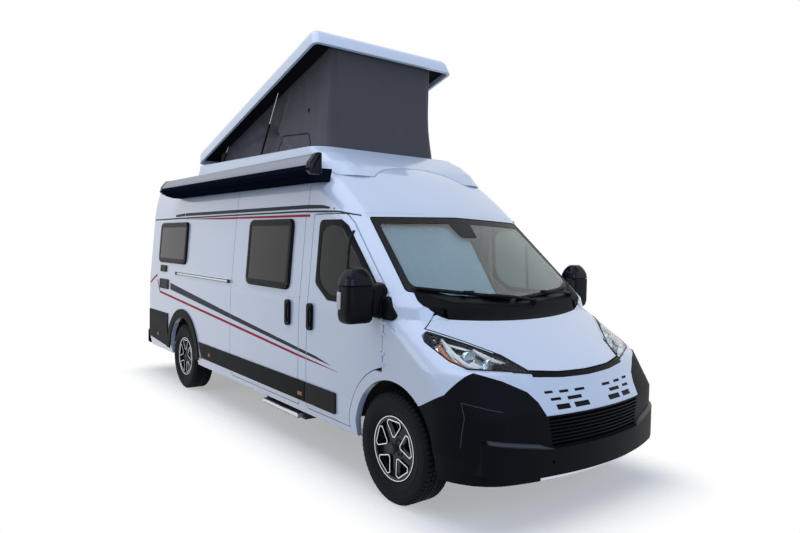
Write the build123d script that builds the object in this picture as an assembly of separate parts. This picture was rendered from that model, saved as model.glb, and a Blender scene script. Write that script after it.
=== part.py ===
from build123d import *
import os
from math import atan2, cos, pi, radians, sin, sqrt, tan

# Camper van with a raised pop-up roof.
# Frame: X forward, Y to the left, Z up, ground at Z = 0, mid length at X = 0. All sizes in mm.

os.makedirs("parts", exist_ok=True)

# Overall
LENGTH = 6363.0
FRONT_OVERHANG = 948.0
WHEELBASE = 4035.0
FRONT_TRACK = 1810.0
REAR_TRACK = 1790.0
NOSE_X = LENGTH / 2
FRONT_AXLE_X = NOSE_X - FRONT_OVERHANG
REAR_AXLE_X = FRONT_AXLE_X - WHEELBASE

# Body skin, one row a level: (z, nose_x, half_width, nose_radius, corner_radius, tail_x)
LOWER_LEVELS = [
    (300.0, 3125.0, 985.0, 2300.0, 400.0, -3150.0),
    (470.0, 3160.0, 1020.0, 2300.0, 400.0, -3150.0),
    (720.0, 3158.0, 1025.0, 2300.0, 390.0, -3150.0),
    (950.0, 3012.0, 1025.0, 2300.0, 370.0, -3150.0),
    (1240.0, 2490.0, 1022.0, 2900.0, 300.0, -3150.0),
    (1320.0, 2430.0, 1013.0, 4200.0, 280.0, -3150.0),
    (1975.0, 1690.0, 962.0, 3200.0, 260.0, -3150.0),
]
UPPER_LEVELS = [
    (1975.0, 1690.0, 962.0, 3200.0, 260.0, -3150.0),
    (2150.0, 1490.0, 942.0, 3000.0, 280.0, -3145.0),
    (2300.0, 1300.0, 910.0, 2800.0, 320.0, -3125.0),
    (2420.0, 1110.0, 850.0, 2600.0, 380.0, -3090.0),
    (2485.0, 940.0, 770.0, 2400.0, 420.0, -3040.0),
    (2515.0, 760.0, 660.0, 2200.0, 450.0, -2970.0),
]
TAIL_RADIUS = 110.0
WALL = 50.0
GLASS = 8.0
SKIN_Y = 1025.0
SHUT_GAP = 7.0
SEAT_GAP = 0.4

# Wheels
TYRE_RADIUS = 372.0
TYRE_WIDTH = 225.0
RIM_RADIUS = 206.0
RIM_WIDTH = 178.0
HUB_RADIUS = 34.0
RUN_CLEARANCE = 0.08
ARCH_RADIUS = 432.0
ARCH_Z = 398.0
ARCH_STRIP = 78.0
SILL_Z = 345.0
WELL_RADIUS = 478.0
WELL_INNER_Y = 560.0
KINGPIN_Y = 780.0
KINGPIN_RADIUS = 14.0

# Doors and openings in side view
DOOR_REAR_X = 1095.0
DOOR_FRONT_X = 2118.0
DOOR_LOW_Z = 400.0
SLIDER_REAR_X = -430.0
SLIDER_FRONT_X = 955.0
DOOR_TOP_Z = 1962.0
REAR_DOOR_LOW_Z = 560.0
REAR_DOOR_TOP_Z = 2120.0
REAR_DOOR_HALF = 880.0

# Camper windows: (side, rear_x, front_x, low_z, top_z)
WINDOWS = [
    (-1, -2700.0, -1750.0, 1450.0, 1930.0),
    (-1, -70.0, 770.0, 1340.0, 1930.0),
    (1, -2700.0, -1750.0, 1450.0, 1930.0),
    (1, -70.0, 770.0, 1340.0, 1930.0),
]
WINDOW_CORNER = 70.0
WINDOW_PROUD = 22.0

# Raised roof
ROOF_HINGE_X = -1930.0
ROOF_HINGE_Z = 2640.0
ROOF_RAISE = 17.07
COLLAR_TOP_REAR_Z = 2614.0
COLLAR_TOP_FRONT_Z = 2566.0
CANVAS_REAR_X = -1780.0
CANVAS_FRONT_X = 748.0
CANVAS_HALF = 606.0
CANVAS_THICK = 8.0
HATCH_REAR_X = -1700.0
HATCH_FRONT_X = 640.0
HATCH_HALF = 540.0

# Awning
AWNING_REAR_X = -2200.0
AWNING_FRONT_X = 1352.0
AWNING_BACK_Y = 1060.0
AWNING_OUT_Y = 1165.0
AWNING_LOW_Z = 2262.0
AWNING_TOP_Z = 2425.0

# Floor and running gear
FLOOR_LOW_Z = 470.0
FLOOR_TOP_Z = 520.0
FIREWALL_X = 2150.0


def polygon(points, radius=0.0, shrink=0.0):
    face = make_face(Polyline(*points, close=True))
    if shrink:
        face = offset(face, amount=-shrink, kind=Kind.INTERSECTION)
    if radius:
        face = fillet(face.vertices(), radius)
    return face


def prism_x(points, x0, x1, radius=0.0, shrink=0.0):
    face = Plane.YZ * polygon(points, radius, shrink)
    return Pos(x0, 0, 0) * extrude(face, amount=x1 - x0, dir=(1, 0, 0))


def prism_y(points, y0, y1, radius=0.0):
    face = Plane.XZ * polygon(points, radius)
    return Pos(0, y0, 0) * extrude(face, amount=y1 - y0, dir=(0, 1, 0))


def prism_z(points, z0, z1, radius=0.0):
    return Pos(0, 0, z0) * extrude(polygon(points, radius), amount=z1 - z0, dir=(0, 0, 1))


def block(x0, x1, y0, y1, z0, z1):
    return Pos((x0 + x1) / 2, (y0 + y1) / 2, (z0 + z1) / 2) * Box(x1 - x0, y1 - y0, z1 - z0)


def rod_y(x, z, radius, y0, y1):
    return Pos(x, (y0 + y1) / 2, z) * Rot(90, 0, 0) * Cylinder(radius, abs(y1 - y0))


def rod_z(x, y, radius, z0, z1):
    return Pos(x, y, (z0 + z1) / 2) * Cylinder(radius, z1 - z0)


def rod_x(y, z, radius, x0, x1):
    return Pos((x0 + x1) / 2, y, z) * Rot(0, 90, 0) * Cylinder(radius, x1 - x0)


def flip(shape):
    return mirror(shape, about=Plane.XZ)


def plan_face(level, tail_radius):
    z, nose_x, half, nose_r, corner_r, tail_x = level
    centre_x = nose_x - nose_r
    corner_y = half - corner_r
    corner_x = centre_x + sqrt((nose_r - corner_r) ** 2 - corner_y ** 2)
    turn = atan2(corner_y, corner_x - centre_x)
    mid = (turn + pi / 2) / 2
    tan_pt = (centre_x + nose_r * cos(turn), nose_r * sin(turn))
    mid_pt = (corner_x + corner_r * cos(mid), corner_y + corner_r * sin(mid))
    side_pt = (corner_x, half)
    rear_pt = (tail_x + tail_radius, half)
    bend = tail_radius * (1 - sqrt(0.5))
    rear_mid = (tail_x + bend, half - bend)
    tail_pt = (tail_x, half - tail_radius)

    def at(p, side=1):
        return (p[0], p[1] * side, z)

    edges = [
        ThreePointArc(at(tan_pt, -1), (nose_x, 0, z), at(tan_pt)),
        ThreePointArc(at(tan_pt), at(mid_pt), at(side_pt)),
        Line(at(side_pt), at(rear_pt)),
        ThreePointArc(at(rear_pt), at(rear_mid), at(tail_pt)),
        Line(at(tail_pt), at(tail_pt, -1)),
        ThreePointArc(at(tail_pt, -1), at(rear_mid, -1), at(rear_pt, -1)),
        Line(at(rear_pt, -1), at(side_pt, -1)),
        ThreePointArc(at(side_pt, -1), at(mid_pt, -1), at(tan_pt, -1)),
    ]
    return make_face(Wire(edges))


def inset(level, wall, top_drop=0.0):
    z, nose_x, half, nose_r, corner_r, tail_x = level
    return (z - top_drop, nose_x - 1.45 * wall, half - wall, nose_r - wall, corner_r - 0.6 * wall, tail_x + wall)


def envelope(levels, wall=0.0, drop=0.0, ruled=True, below=0.0):
    low_z = levels[0][0]
    high_z = levels[-1][0]
    rows = []
    for level in levels:
        share = (level[0] - low_z) / (high_z - low_z)
        rows.append(inset(level, wall, drop * share))
    if below:
        first = rows[0]
        rows[0] = (first[0] - below,) + first[1:]
    tail = TAIL_RADIUS - 0.6 * wall
    return loft([plan_face(row, tail) for row in rows], ruled=ruled)


def keep(name, shape):
    parts[name] = shape


parts = {}

# Body envelopes
outer = envelope(LOWER_LEVELS)
inner = envelope(LOWER_LEVELS, WALL, below=150.0)
glass_inner = envelope(LOWER_LEVELS, GLASS, below=150.0)
roof_outer = envelope(UPPER_LEVELS, ruled=False)
roof_inner = envelope(UPPER_LEVELS, WALL, drop=45.0, ruled=False)
shell = outer - inner
skin = outer - glass_inner

# Windscreen and the front block in side view
SCREEN_OUTLINE = [
    (-800.0, 1940.0), (0.0, 1962.0), (800.0, 1940.0),
    (885.0, 1425.0), (600.0, 1345.0), (0.0, 1308.0), (-600.0, 1345.0), (-885.0, 1425.0),
]
screen_prism = prism_x(SCREEN_OUTLINE, 1350.0, 2700.0, 18.0)
FRONT_OUTLINE = [
    (DOOR_FRONT_X + SHUT_GAP, 200.0), (DOOR_FRONT_X + SHUT_GAP, 1290.0), (2250.0, 1318.0),
    (2340.0, 1440.0), (3300.0, 1440.0), (3300.0, 200.0),
]
front_block = prism_y(FRONT_OUTLINE, -1100.0, 1100.0)
strip_rod = rod_y(FRONT_AXLE_X, ARCH_Z, ARCH_RADIUS + ARCH_STRIP, -1100.0, 1100.0)
strip_block = strip_rod & block(1650.0, 2200.0, -1100.0, 1100.0, 250.0, 870.0)
front_zone = front_block + strip_block
arch_front = rod_y(FRONT_AXLE_X, ARCH_Z, ARCH_RADIUS, -1200.0, 1200.0)
arch_rear = rod_y(REAR_AXLE_X, ARCH_Z, ARCH_RADIUS, -1200.0, 1200.0)
under_front = block(FRONT_AXLE_X - ARCH_RADIUS, FRONT_AXLE_X + ARCH_RADIUS, -1200.0, 1200.0, 100.0, ARCH_Z)
under_rear = block(REAR_AXLE_X - ARCH_RADIUS, REAR_AXLE_X + ARCH_RADIUS, -1200.0, 1200.0, 100.0, ARCH_Z)

sill_cut = block(-3400.0, FRONT_AXLE_X, -1200.0, 1200.0, 0.0, SILL_Z)

front = (shell & front_zone) - screen_prism - arch_front - under_front - sill_cut

# Bonnet, cowl, headlamps, grille panel, bumper and wings
BONNET_OUTLINE = [
    (-478.0, 958.0), (-250.0, 940.0), (0.0, 934.0), (250.0, 940.0), (478.0, 958.0),
    (560.0, 1040.0), (720.0, 1118.0), (900.0, 1192.0), (812.0, 1242.0), (768.0, 1300.0), (768.0, 1500.0),
    (-768.0, 1500.0), (-768.0, 1300.0), (-812.0, 1242.0), (-900.0, 1192.0), (-720.0, 1118.0),
    (-560.0, 1040.0),
]
STRIP_DEPTH = 30.0
STRIP_OUTLINE = [
    (-478.0, 957.0), (-250.0, 940.0), (0.0, 934.0), (250.0, 940.0), (478.0, 957.0),
    (478.0, 957.0 - STRIP_DEPTH), (250.0, 940.0 - STRIP_DEPTH), (0.0, 934.0 - STRIP_DEPTH),
    (-250.0, 940.0 - STRIP_DEPTH), (-478.0, 957.0 - STRIP_DEPTH),
]
SLOT_CORNER = 4.0
# Slots of the white nose panel, right of centre and mirrored: (inner_y, outer_y, mid_z, height)
NOSE_SLOTS = [
    (95.0, 190.0, 832.0, 15.0), (245.0, 325.0, 834.0, 15.0), (375.0, 442.0, 838.0, 14.0),
    (150.0, 278.0, 794.0, 19.0), (332.0, 416.0, 797.0, 15.0),
    (105.0, 242.0, 753.0, 28.0), (282.0, 392.0, 753.0, 28.0),
]
# Cowl in plan: its front arc, its rounded ends and its back edge
COWL_CENTRE_X = 2527.0
COWL_CORNER_X = 2369.0
COWL_CORNER_Y = 762.0
COWL_END_X = 2284.0
COWL_HALF = 852.0
COWL_BACK_X = 2150.0
COWL_LOW_Z = 1130.0
COWL_TOP_Z = 1500.0
LAMP_REAR_X = 2430.0
LAMP_OUTLINE = [
    (925.0, 1194.0), (952.0, 1120.0), (915.0, 1020.0), (860.0, 982.0), (680.0, 968.0),
    (484.0, 950.0), (566.0, 1033.0), (722.0, 1110.0),
]
GRILLE_OUTLINE = [
    (-930.0, 996.0), (-700.0, 918.0), (-562.0, 850.0), (-515.0, 790.0), (-492.0, 712.0),
    (492.0, 712.0), (515.0, 790.0), (562.0, 850.0), (700.0, 918.0), (930.0, 996.0),
    (860.0, 978.0), (680.0, 964.0), (478.0, 944.0), (-478.0, 944.0), (-680.0, 964.0), (-860.0, 978.0),
]
BUMPER_SEAM = [
    (2430.0, 200.0), (2430.0, 690.0), (2545.0, 735.0), (2730.0, 835.0), (2842.0, 1004.0),
    (3300.0, 1004.0), (3300.0, 200.0),
]


def cowl_plan(grow):
    corner = (COWL_CORNER_X + grow, COWL_CORNER_Y)
    bend = ((COWL_CORNER_X + COWL_END_X) / 2 + 8.0 + grow, (COWL_CORNER_Y + COWL_HALF) / 2 + 22.0 + grow / 2)
    end = (COWL_END_X, COWL_HALF + grow)
    back = (COWL_BACK_X, COWL_HALF + grow)

    def low(point):
        return (point[0], -point[1])

    face = make_face(
        Wire([
            ThreePointArc(low(corner), (COWL_CENTRE_X + grow, 0), corner),
            ThreePointArc(corner, bend, end),
            Line(end, back),
            Line(back, low(back)),
            Line(low(back), low(end)),
            ThreePointArc(low(end), low(bend), low(corner)),
        ])
    )
    return Pos(0, 0, COWL_LOW_Z) * extrude(face, amount=COWL_TOP_Z - COWL_LOW_Z, dir=(0, 0, 1))


cowl_zone = cowl_plan(0.0)
bonnet_prism = prism_x(BONNET_OUTLINE, 2200.0, 3300.0)
bonnet = (front & prism_x(BONNET_OUTLINE, 2200.0, 3300.0, 0.0, SHUT_GAP)) - cowl_plan(SHUT_GAP)
# Bonnet's rear corners are thin, so they swing clear of the wings
THIN_FROM_Y = 775.0
THIN_TO_Y = 950.0
for side in (-1, 1):
    near_y, far_y = sorted((side * THIN_FROM_Y, side * THIN_TO_Y))
    bonnet = bonnet - (glass_inner & block(2250.0, 2440.0, near_y, far_y, 1140.0, 1320.0))
cowl = front & cowl_zone
lamp_right_prism = prism_x([(-y, z) for y, z in LAMP_OUTLINE], LAMP_REAR_X, 3300.0)
lamp_prism = lamp_right_prism + flip(lamp_right_prism)
grille_prism = prism_x(GRILLE_OUTLINE, 2600.0, 3300.0)
headlamps = front & lamp_prism
cowl = cowl - lamp_prism
rest = front - headlamps - (front & bonnet_prism) - cowl
nose_strip = rest & prism_x(STRIP_OUTLINE, 2800.0, 3300.0)
rest = rest - prism_x(STRIP_OUTLINE, 2800.0, 3300.0)
grille_panel = (rest & grille_prism).solids().sort_by(SortBy.VOLUME)[-1]
rest = rest - grille_prism
for inner_y, outer_y, mid_z, height in NOSE_SLOTS:
    slot = prism_x(
        [
            (inner_y, mid_z - height / 2), (outer_y, mid_z - height / 2),
            (outer_y, mid_z + height / 2), (inner_y, mid_z + height / 2),
        ],
        2800.0, 3300.0, SLOT_CORNER,
    )
    grille_panel = grille_panel - slot - flip(slot)
bumper_zone = prism_y(BUMPER_SEAM, -1100.0, 1100.0)
bumper = (rest & bumper_zone).solids().sort_by(SortBy.VOLUME)[-1]
wings = rest - bumper
wing_right = (wings & block(1500.0, 3300.0, -1100.0, -600.0, 0.0, 1600.0)).solids().sort_by(SortBy.VOLUME)[-1]

windscreen = skin & prism_x(SCREEN_OUTLINE, 1350.0, 2700.0, 18.0)


# Cab doors, right hand first
DOOR_OUTLINE = [
    (DOOR_REAR_X, DOOR_LOW_Z), (DOOR_FRONT_X, DOOR_LOW_Z), (DOOR_FRONT_X, 1400.0),
    (1592.0, 1895.0), (1500.0, DOOR_TOP_Z), (DOOR_REAR_X, DOOR_TOP_Z),
]
DOOR_GLASS_OUTLINE = [
    (1195.0, 1420.0), (1390.0, 1305.0), (2082.0, 1300.0), (2082.0, 1383.0), (1568.0, 1868.0),
    (1485.0, 1915.0), (1195.0, 1915.0),
]
door_prism = prism_y(DOOR_OUTLINE, -1200.0, -850.0, 20.0)
door_hole = prism_y(
    [
        (DOOR_REAR_X - SHUT_GAP, DOOR_LOW_Z - SHUT_GAP), (DOOR_FRONT_X + SHUT_GAP, DOOR_LOW_Z - SHUT_GAP),
        (DOOR_FRONT_X + SHUT_GAP, 1403.0), (1597.0, 1900.0), (1503.0, DOOR_TOP_Z + SHUT_GAP),
        (DOOR_REAR_X - SHUT_GAP, DOOR_TOP_Z + SHUT_GAP),
    ],
    -1200.0, -850.0, 20.0,
)
strip_clear = rod_y(FRONT_AXLE_X, ARCH_Z, ARCH_RADIUS + ARCH_STRIP + SHUT_GAP, -1200.0, 1200.0)
glass_prism = prism_y(DOOR_GLASS_OUTLINE, -1200.0, -850.0, 22.0)
door_right = (shell & door_prism) - strip_clear - glass_prism
door_glass_right = skin & glass_prism

# Sides
slider_prism = prism_y(
    [
        (SLIDER_REAR_X, DOOR_LOW_Z), (SLIDER_FRONT_X, DOOR_LOW_Z),
        (SLIDER_FRONT_X, DOOR_TOP_Z), (SLIDER_REAR_X, DOOR_TOP_Z),
    ],
    -1200.0, -850.0, 30.0,
)
slider_hole = prism_y(
    [
        (SLIDER_REAR_X - SHUT_GAP, DOOR_LOW_Z - SHUT_GAP), (SLIDER_FRONT_X + SHUT_GAP, DOOR_LOW_Z - SHUT_GAP),
        (SLIDER_FRONT_X + SHUT_GAP, DOOR_TOP_Z + SHUT_GAP), (SLIDER_REAR_X - SHUT_GAP, DOOR_TOP_Z + SHUT_GAP),
    ],
    -1200.0, -850.0, 34.0,
)
rear_door_prism = prism_x(
    [
        (-REAR_DOOR_HALF, REAR_DOOR_LOW_Z), (REAR_DOOR_HALF, REAR_DOOR_LOW_Z),
        (REAR_DOOR_HALF, 1900.0), (800.0, REAR_DOOR_TOP_Z),
        (-800.0, REAR_DOOR_TOP_Z), (-REAR_DOOR_HALF, 1900.0),
    ],
    -3400.0, -2950.0, 40.0,
)
rear_hole = prism_x(
    [
        (-REAR_DOOR_HALF - SHUT_GAP, REAR_DOOR_LOW_Z - SHUT_GAP),
        (REAR_DOOR_HALF + SHUT_GAP, REAR_DOOR_LOW_Z - SHUT_GAP),
        (REAR_DOOR_HALF + SHUT_GAP, 1902.0), (804.0, REAR_DOOR_TOP_Z + SHUT_GAP),
        (-804.0, REAR_DOOR_TOP_Z + SHUT_GAP), (-REAR_DOOR_HALF - SHUT_GAP, 1902.0),
    ],
    -3400.0, -2950.0, 44.0,
)


def tilted(side, x0, x1, z0, z1, out0, out1, radius):
    # Rounded plate lying on the leaning wall between the belt and the roof seam.
    low, high = LOWER_LEVELS[-2], LOWER_LEVELS[-1]
    lean = atan2(low[2] - high[2], high[0] - low[0])
    mid_z = (z0 + z1) / 2
    mid_y = low[2] - (mid_z - low[0]) * tan(lean)
    height = (z1 - z0) / cos(lean)
    plate = extrude(RectangleRounded(x1 - x0, height, radius), amount=out1 - out0, dir=(0, 0, 1))
    plate = Pos(0, 0, out0) * plate
    shape = Pos((x0 + x1) / 2, -mid_y, mid_z) * Rot(90 + lean * 180 / pi * -1, 0, 0) * plate
    return flip(shape) if side > 0 else shape


window_holes = {-1: [], 1: []}
window_panes = []
for side, rear_x, front_x, low_z, top_z in WINDOWS:
    window_holes[side].append(
        tilted(side, rear_x + 35, front_x - 35, low_z + 35, top_z - 35, -200.0, 100.0, WINDOW_CORNER - 25)
    )
    pane = tilted(side, rear_x, front_x, low_z, top_z, SEAT_GAP, WINDOW_PROUD, WINDOW_CORNER)
    window_panes.append(pane)

body_rest = shell - front_zone - screen_prism - arch_rear - under_rear - rear_hole - sill_cut
side_right = (body_rest & block(-3400.0, 2600.0, -1200.0, 0.0, 0.0, 2000.0)) - door_hole - slider_hole
side_left = (body_rest & block(-3400.0, 2600.0, 0.0, 1200.0, 0.0, 2000.0)) - flip(door_hole)
for hole in window_holes[-1]:
    side_right = side_right - hole
for hole in window_holes[1]:
    side_left = side_left - hole
sliding_door = shell & slider_prism
for hole in window_holes[-1]:
    sliding_door = sliding_door - hole

# Rear doors
REAR_SPLIT = 6.0
rear_skin = shell + (roof_outer - roof_inner)
rear_pair = rear_skin & rear_door_prism
REAR_WINDOW_OUTLINE = [(180.0, 1290.0), (760.0, 1290.0), (740.0, 1830.0), (180.0, 1830.0)]
rear_window_prism = prism_x(REAR_WINDOW_OUTLINE, -3400.0, -2950.0, 60.0)
rear_door_left = (rear_pair & block(-3400.0, -2900.0, REAR_SPLIT, 1000.0, 300.0, 2300.0)) - rear_window_prism
rear_glass_left = block(-3150.0, -3138.0, 100.0, 900.0, 1200.0, 1900.0) & rear_window_prism

# Roof
hatch = prism_z(
    [
        (HATCH_REAR_X, -HATCH_HALF), (HATCH_FRONT_X, -HATCH_HALF),
        (HATCH_FRONT_X, HATCH_HALF), (HATCH_REAR_X, HATCH_HALF),
    ],
    2300.0, 2900.0, 60.0,
)
roof_panel = (roof_outer - roof_inner) - hatch - rear_hole

# Roof collar: (z, rear_x, front_x, half_width, corner_radius)
COLLAR_ROWS = [
    (2290.0, -2010.0, 1270.0, 850.0, 260.0),
    (2410.0, -2005.0, 1135.0, 846.0, 220.0),
    (2500.0, -2000.0, 985.0, 832.0, 190.0),
    (2560.0, -1995.0, 850.0, 812.0, 170.0),
    (2640.0, -1990.0, 775.0, 798.0, 150.0),
]


def pad(row):
    z, rear_x, front_x, half, radius = row
    sheet = RectangleRounded(front_x - rear_x, 2 * half, radius)
    return Pos((rear_x + front_x) / 2, 0, z) * sheet


collar = loft([pad(row) for row in COLLAR_ROWS], ruled=True)
collar_cut = prism_y(
    [(-2300.0, COLLAR_TOP_REAR_Z), (1500.0, COLLAR_TOP_FRONT_Z - 12.0), (1500.0, 2900.0), (-2300.0, 2900.0)],
    -1200.0, 1200.0,
)
collar = collar - collar_cut - roof_outer - hatch

# Raised roof shell, built lying flat from its hinge line and then raised
SHELL_ROWS = [
    (-8.0, -10.0, 2810.0, 797.0, 62.0),
    (92.0, -2.0, 2798.0, 784.0, 60.0),
    (132.0, 14.0, 2776.0, 762.0, 58.0),
    (152.0, 40.0, 2745.0, 730.0, 55.0),
    (158.0, 75.0, 2705.0, 690.0, 50.0),
]
SHELL_CEILING = 40.0
SHELL_FRAME = 14.0
HOLLOW_ROWS = [
    (-20.0, 16.0, 2784.0, 771.0, 44.0),
    (92.0, 24.0, 2772.0, 758.0, 42.0),
    (128.0, 60.0, 2735.0, 712.0, 40.0),
]
shell_hollow = loft([pad(row) for row in HOLLOW_ROWS], ruled=True)
roof_shell = loft([pad(row) for row in SHELL_ROWS], ruled=True) - shell_hollow
frame_out = (SHELL_CEILING, 12.0, 2788.0, 775.0, 46.0)
frame_in = (SHELL_CEILING, 190.0, 2690.0, 540.0, 60.0)
canvas_frame = extrude(pad(frame_out) - pad(frame_in), amount=SHELL_FRAME, dir=(0, 0, 1))
roof_shell = roof_shell + canvas_frame
raise_turn = Pos(ROOF_HINGE_X, 0, ROOF_HINGE_Z) * Rot(0, -ROOF_RAISE, 0)
roof_shell = raise_turn * roof_shell

# Canvas wall between collar and shell
slope = tan(radians(ROOF_RAISE))
collar_slope = (COLLAR_TOP_FRONT_Z - 12.0 - COLLAR_TOP_REAR_Z) / 3800.0


def collar_z(x):
    return COLLAR_TOP_REAR_Z + (x + 2300.0) * collar_slope


def ceiling_z(x):
    return ROOF_HINGE_Z + SHELL_CEILING / cos(radians(ROOF_RAISE)) + (x - ROOF_HINGE_X) * slope


canvas_wedge = prism_y(
    [
        (-2000.0, collar_z(-2000.0) + SEAT_GAP), (900.0, collar_z(900.0) + SEAT_GAP),
        (900.0, ceiling_z(900.0) - SEAT_GAP), (-2000.0, ceiling_z(-2000.0) - SEAT_GAP),
    ],
    -1000.0, 1000.0,
)


def canvas_tube(trim):
    low = (2500.0, CANVAS_REAR_X + trim, CANVAS_FRONT_X + 4.0 - trim, CANVAS_HALF + 6.0 - trim, 90.0 - trim)
    high = (3600.0, CANVAS_REAR_X + trim, CANVAS_FRONT_X - 68.0 - trim, CANVAS_HALF - 40.0 - trim, 90.0 - trim)
    return loft([pad(low), pad(high)], ruled=True)


canvas = (canvas_tube(0.0) - canvas_tube(CANVAS_THICK)) & canvas_wedge

# Awning case and its rail
RAIL_TOP_Z = 2330.0
RAIL_SETBACK = 170.0
AWNING_PROFILE = [
    (-AWNING_BACK_Y, AWNING_LOW_Z), (-1135.0, AWNING_LOW_Z), (-AWNING_OUT_Y, 2290.0), (-1156.0, 2350.0),
    (-1110.0, 2412.0), (-1085.0, AWNING_TOP_Z), (-AWNING_BACK_Y, AWNING_TOP_Z),
]
awning_case = prism_x(AWNING_PROFILE, AWNING_REAR_X, AWNING_FRONT_X, 10.0)
awning_rail = prism_x(
    [
        (-880.0, 2225.0), (-1010.0, 2225.0), (-1110.0, 2248.0), (-1110.0, AWNING_LOW_Z - SEAT_GAP),
        (SEAT_GAP - AWNING_BACK_Y, AWNING_LOW_Z - SEAT_GAP), (SEAT_GAP - AWNING_BACK_Y, RAIL_TOP_Z),
        (-860.0, RAIL_TOP_Z),
    ],
    AWNING_REAR_X + 20.0, AWNING_FRONT_X - RAIL_SETBACK,
) - roof_outer

# Bumper fittings: grille opening with bars, proud step
GRILLE_LOW_Z = 520.0
GRILLE_TOP_Z = 700.0
GRILLE_BARS = 7
GRILLE_CORNER = 12.0
BAR_HALF = 5.0
grille_hole = prism_x(
    [(-442.0, GRILLE_LOW_Z), (442.0, GRILLE_LOW_Z), (478.0, GRILLE_TOP_Z), (-478.0, GRILLE_TOP_Z)],
    2800.0, 3300.0, GRILLE_CORNER,
)
bar_pitch = (GRILLE_TOP_Z - GRILLE_LOW_Z) / (GRILLE_BARS + 1)
bar_levels = [GRILLE_LOW_Z + bar_pitch * (i + 1) for i in range(GRILLE_BARS)]
bars = [bumper & block(2800.0, 3300.0, -490.0, 490.0, z - BAR_HALF, z + BAR_HALF) for z in bar_levels]
bumper = bumper - grille_hole
for bar in bars:
    bumper = bumper + bar
LEDGE_LEVEL = (330.0, NOSE_X, 1025.0, 2300.0, 400.0, -3150.0)
LEDGE_OUTLINE = [
    (-900.0, 380.0), (-760.0, 345.0), (760.0, 345.0), (900.0, 380.0),
    (900.0, 578.0), (452.0, 512.0), (-452.0, 512.0), (-900.0, 578.0),
]
ledge = extrude(plan_face(LEDGE_LEVEL, TAIL_RADIUS), amount=300.0, dir=(0, 0, 1))
ledge = (ledge & prism_x(LEDGE_OUTLINE, 2700.0, 3300.0)) - inner - grille_hole
bumper = bumper + ledge
TOW_RADIUS = 10.5
TOW_Y = -450.0
TOW_Z = 430.0
bumper = bumper - rod_x(TOW_Y, TOW_Z, TOW_RADIUS, 3080.0, 3300.0)

# Mirror and handle of a cab door
MIRROR_PLACE = (2030.0, -1172.0)
MIRROR_TURN = -8.0
MIRROR_JOINT = 7.0
# Levels of the mirror head: (z, depth_x, width_y, corner_radius)
HOUSING_ROWS = [
    (1254.0, 70.0, 128.0, 30.0), (1282.0, 104.0, 172.0, 44.0),
    (1330.0, 120.0, 188.0, 50.0), (1462.0, 122.0, 190.0, 50.0),
]
CAP_ROWS = [
    (1469.0, 122.0, 190.0, 50.0), (1505.0, 118.0, 182.0, 52.0),
    (1542.0, 100.0, 152.0, 46.0), (1570.0, 56.0, 92.0, 26.0),
]
GLASS_RECESS = 12.0


def head(rows):
    return loft([Pos(0, 0, z) * RectangleRounded(deep, wide, radius) for z, deep, wide, radius in rows])


mirror_head = head(HOUSING_ROWS) + head(CAP_ROWS)
mirror_core = Box(90.0, 150.0, 4 * MIRROR_JOINT)
mirror_head = mirror_head + Pos(0, 0, HOUSING_ROWS[-1][0] + MIRROR_JOINT / 2) * mirror_core
mirror_pocket = Rot(0, -90, 0) * extrude(RectangleRounded(112.0, 146.0, 24.0), amount=40.0, dir=(0, 0, 1))
mirror_head = mirror_head - Pos(GLASS_RECESS - HOUSING_ROWS[-1][1] / 2, 0, 1396.0) * mirror_pocket
mirror_head = Pos(MIRROR_PLACE[0], MIRROR_PLACE[1], 0) * Rot(0, 0, MIRROR_TURN) * mirror_head
ARM_OUTLINE = [(1985.0, 1300.0), (2085.0, 1300.0), (2075.0, 1372.0), (1995.0, 1372.0)]
SAIL_OUTLINE = [(1935.0, 1296.0), (2110.0, 1296.0), (2110.0, 1385.0), (2056.0, 1440.0)]
mirror_arm = prism_y(ARM_OUTLINE, -1110.0, -1019.0, 14.0)
sail = prism_y(SAIL_OUTLINE, -1024.0, -1016.4, 8.0)
HANDLE_X = 1155.0
SLIDER_HANDLE_X = 785.0
HANDLE_Z = 1148.0
HANDLE_SEAT_Y = 1024.5
handle_plate = Rot(90, 0, 0) * extrude(RectangleRounded(75, 216, 37), amount=20.0, dir=(0, 0, 1))
door_handle = Pos(HANDLE_X, -HANDLE_SEAT_Y, HANDLE_Z) * handle_plate
slider_handle = Pos(SLIDER_HANDLE_X, -HANDLE_SEAT_Y, HANDLE_Z) * handle_plate
SILL_SEAT_Y = -1023.3
SILL_OUT_Y = -1034.3
SILL_TRIM_LOW_Z = 450.0
SILL_TRIM_TOP_Z = 610.0
SILL_TRIM_FRONT_X = 1548.0
SILL_TRIM_ROUND = 4.0
door_sill = prism_y(
    [
        (DOOR_REAR_X + 2, SILL_TRIM_LOW_Z), (SILL_TRIM_FRONT_X, SILL_TRIM_LOW_Z),
        (SILL_TRIM_FRONT_X, SILL_TRIM_TOP_Z), (DOOR_REAR_X + 2, SILL_TRIM_TOP_Z),
    ],
    SILL_OUT_Y, SILL_SEAT_Y, SILL_TRIM_ROUND,
)
door_trim_right = Compound([mirror_head + mirror_arm + sail, door_handle, door_sill])

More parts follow.
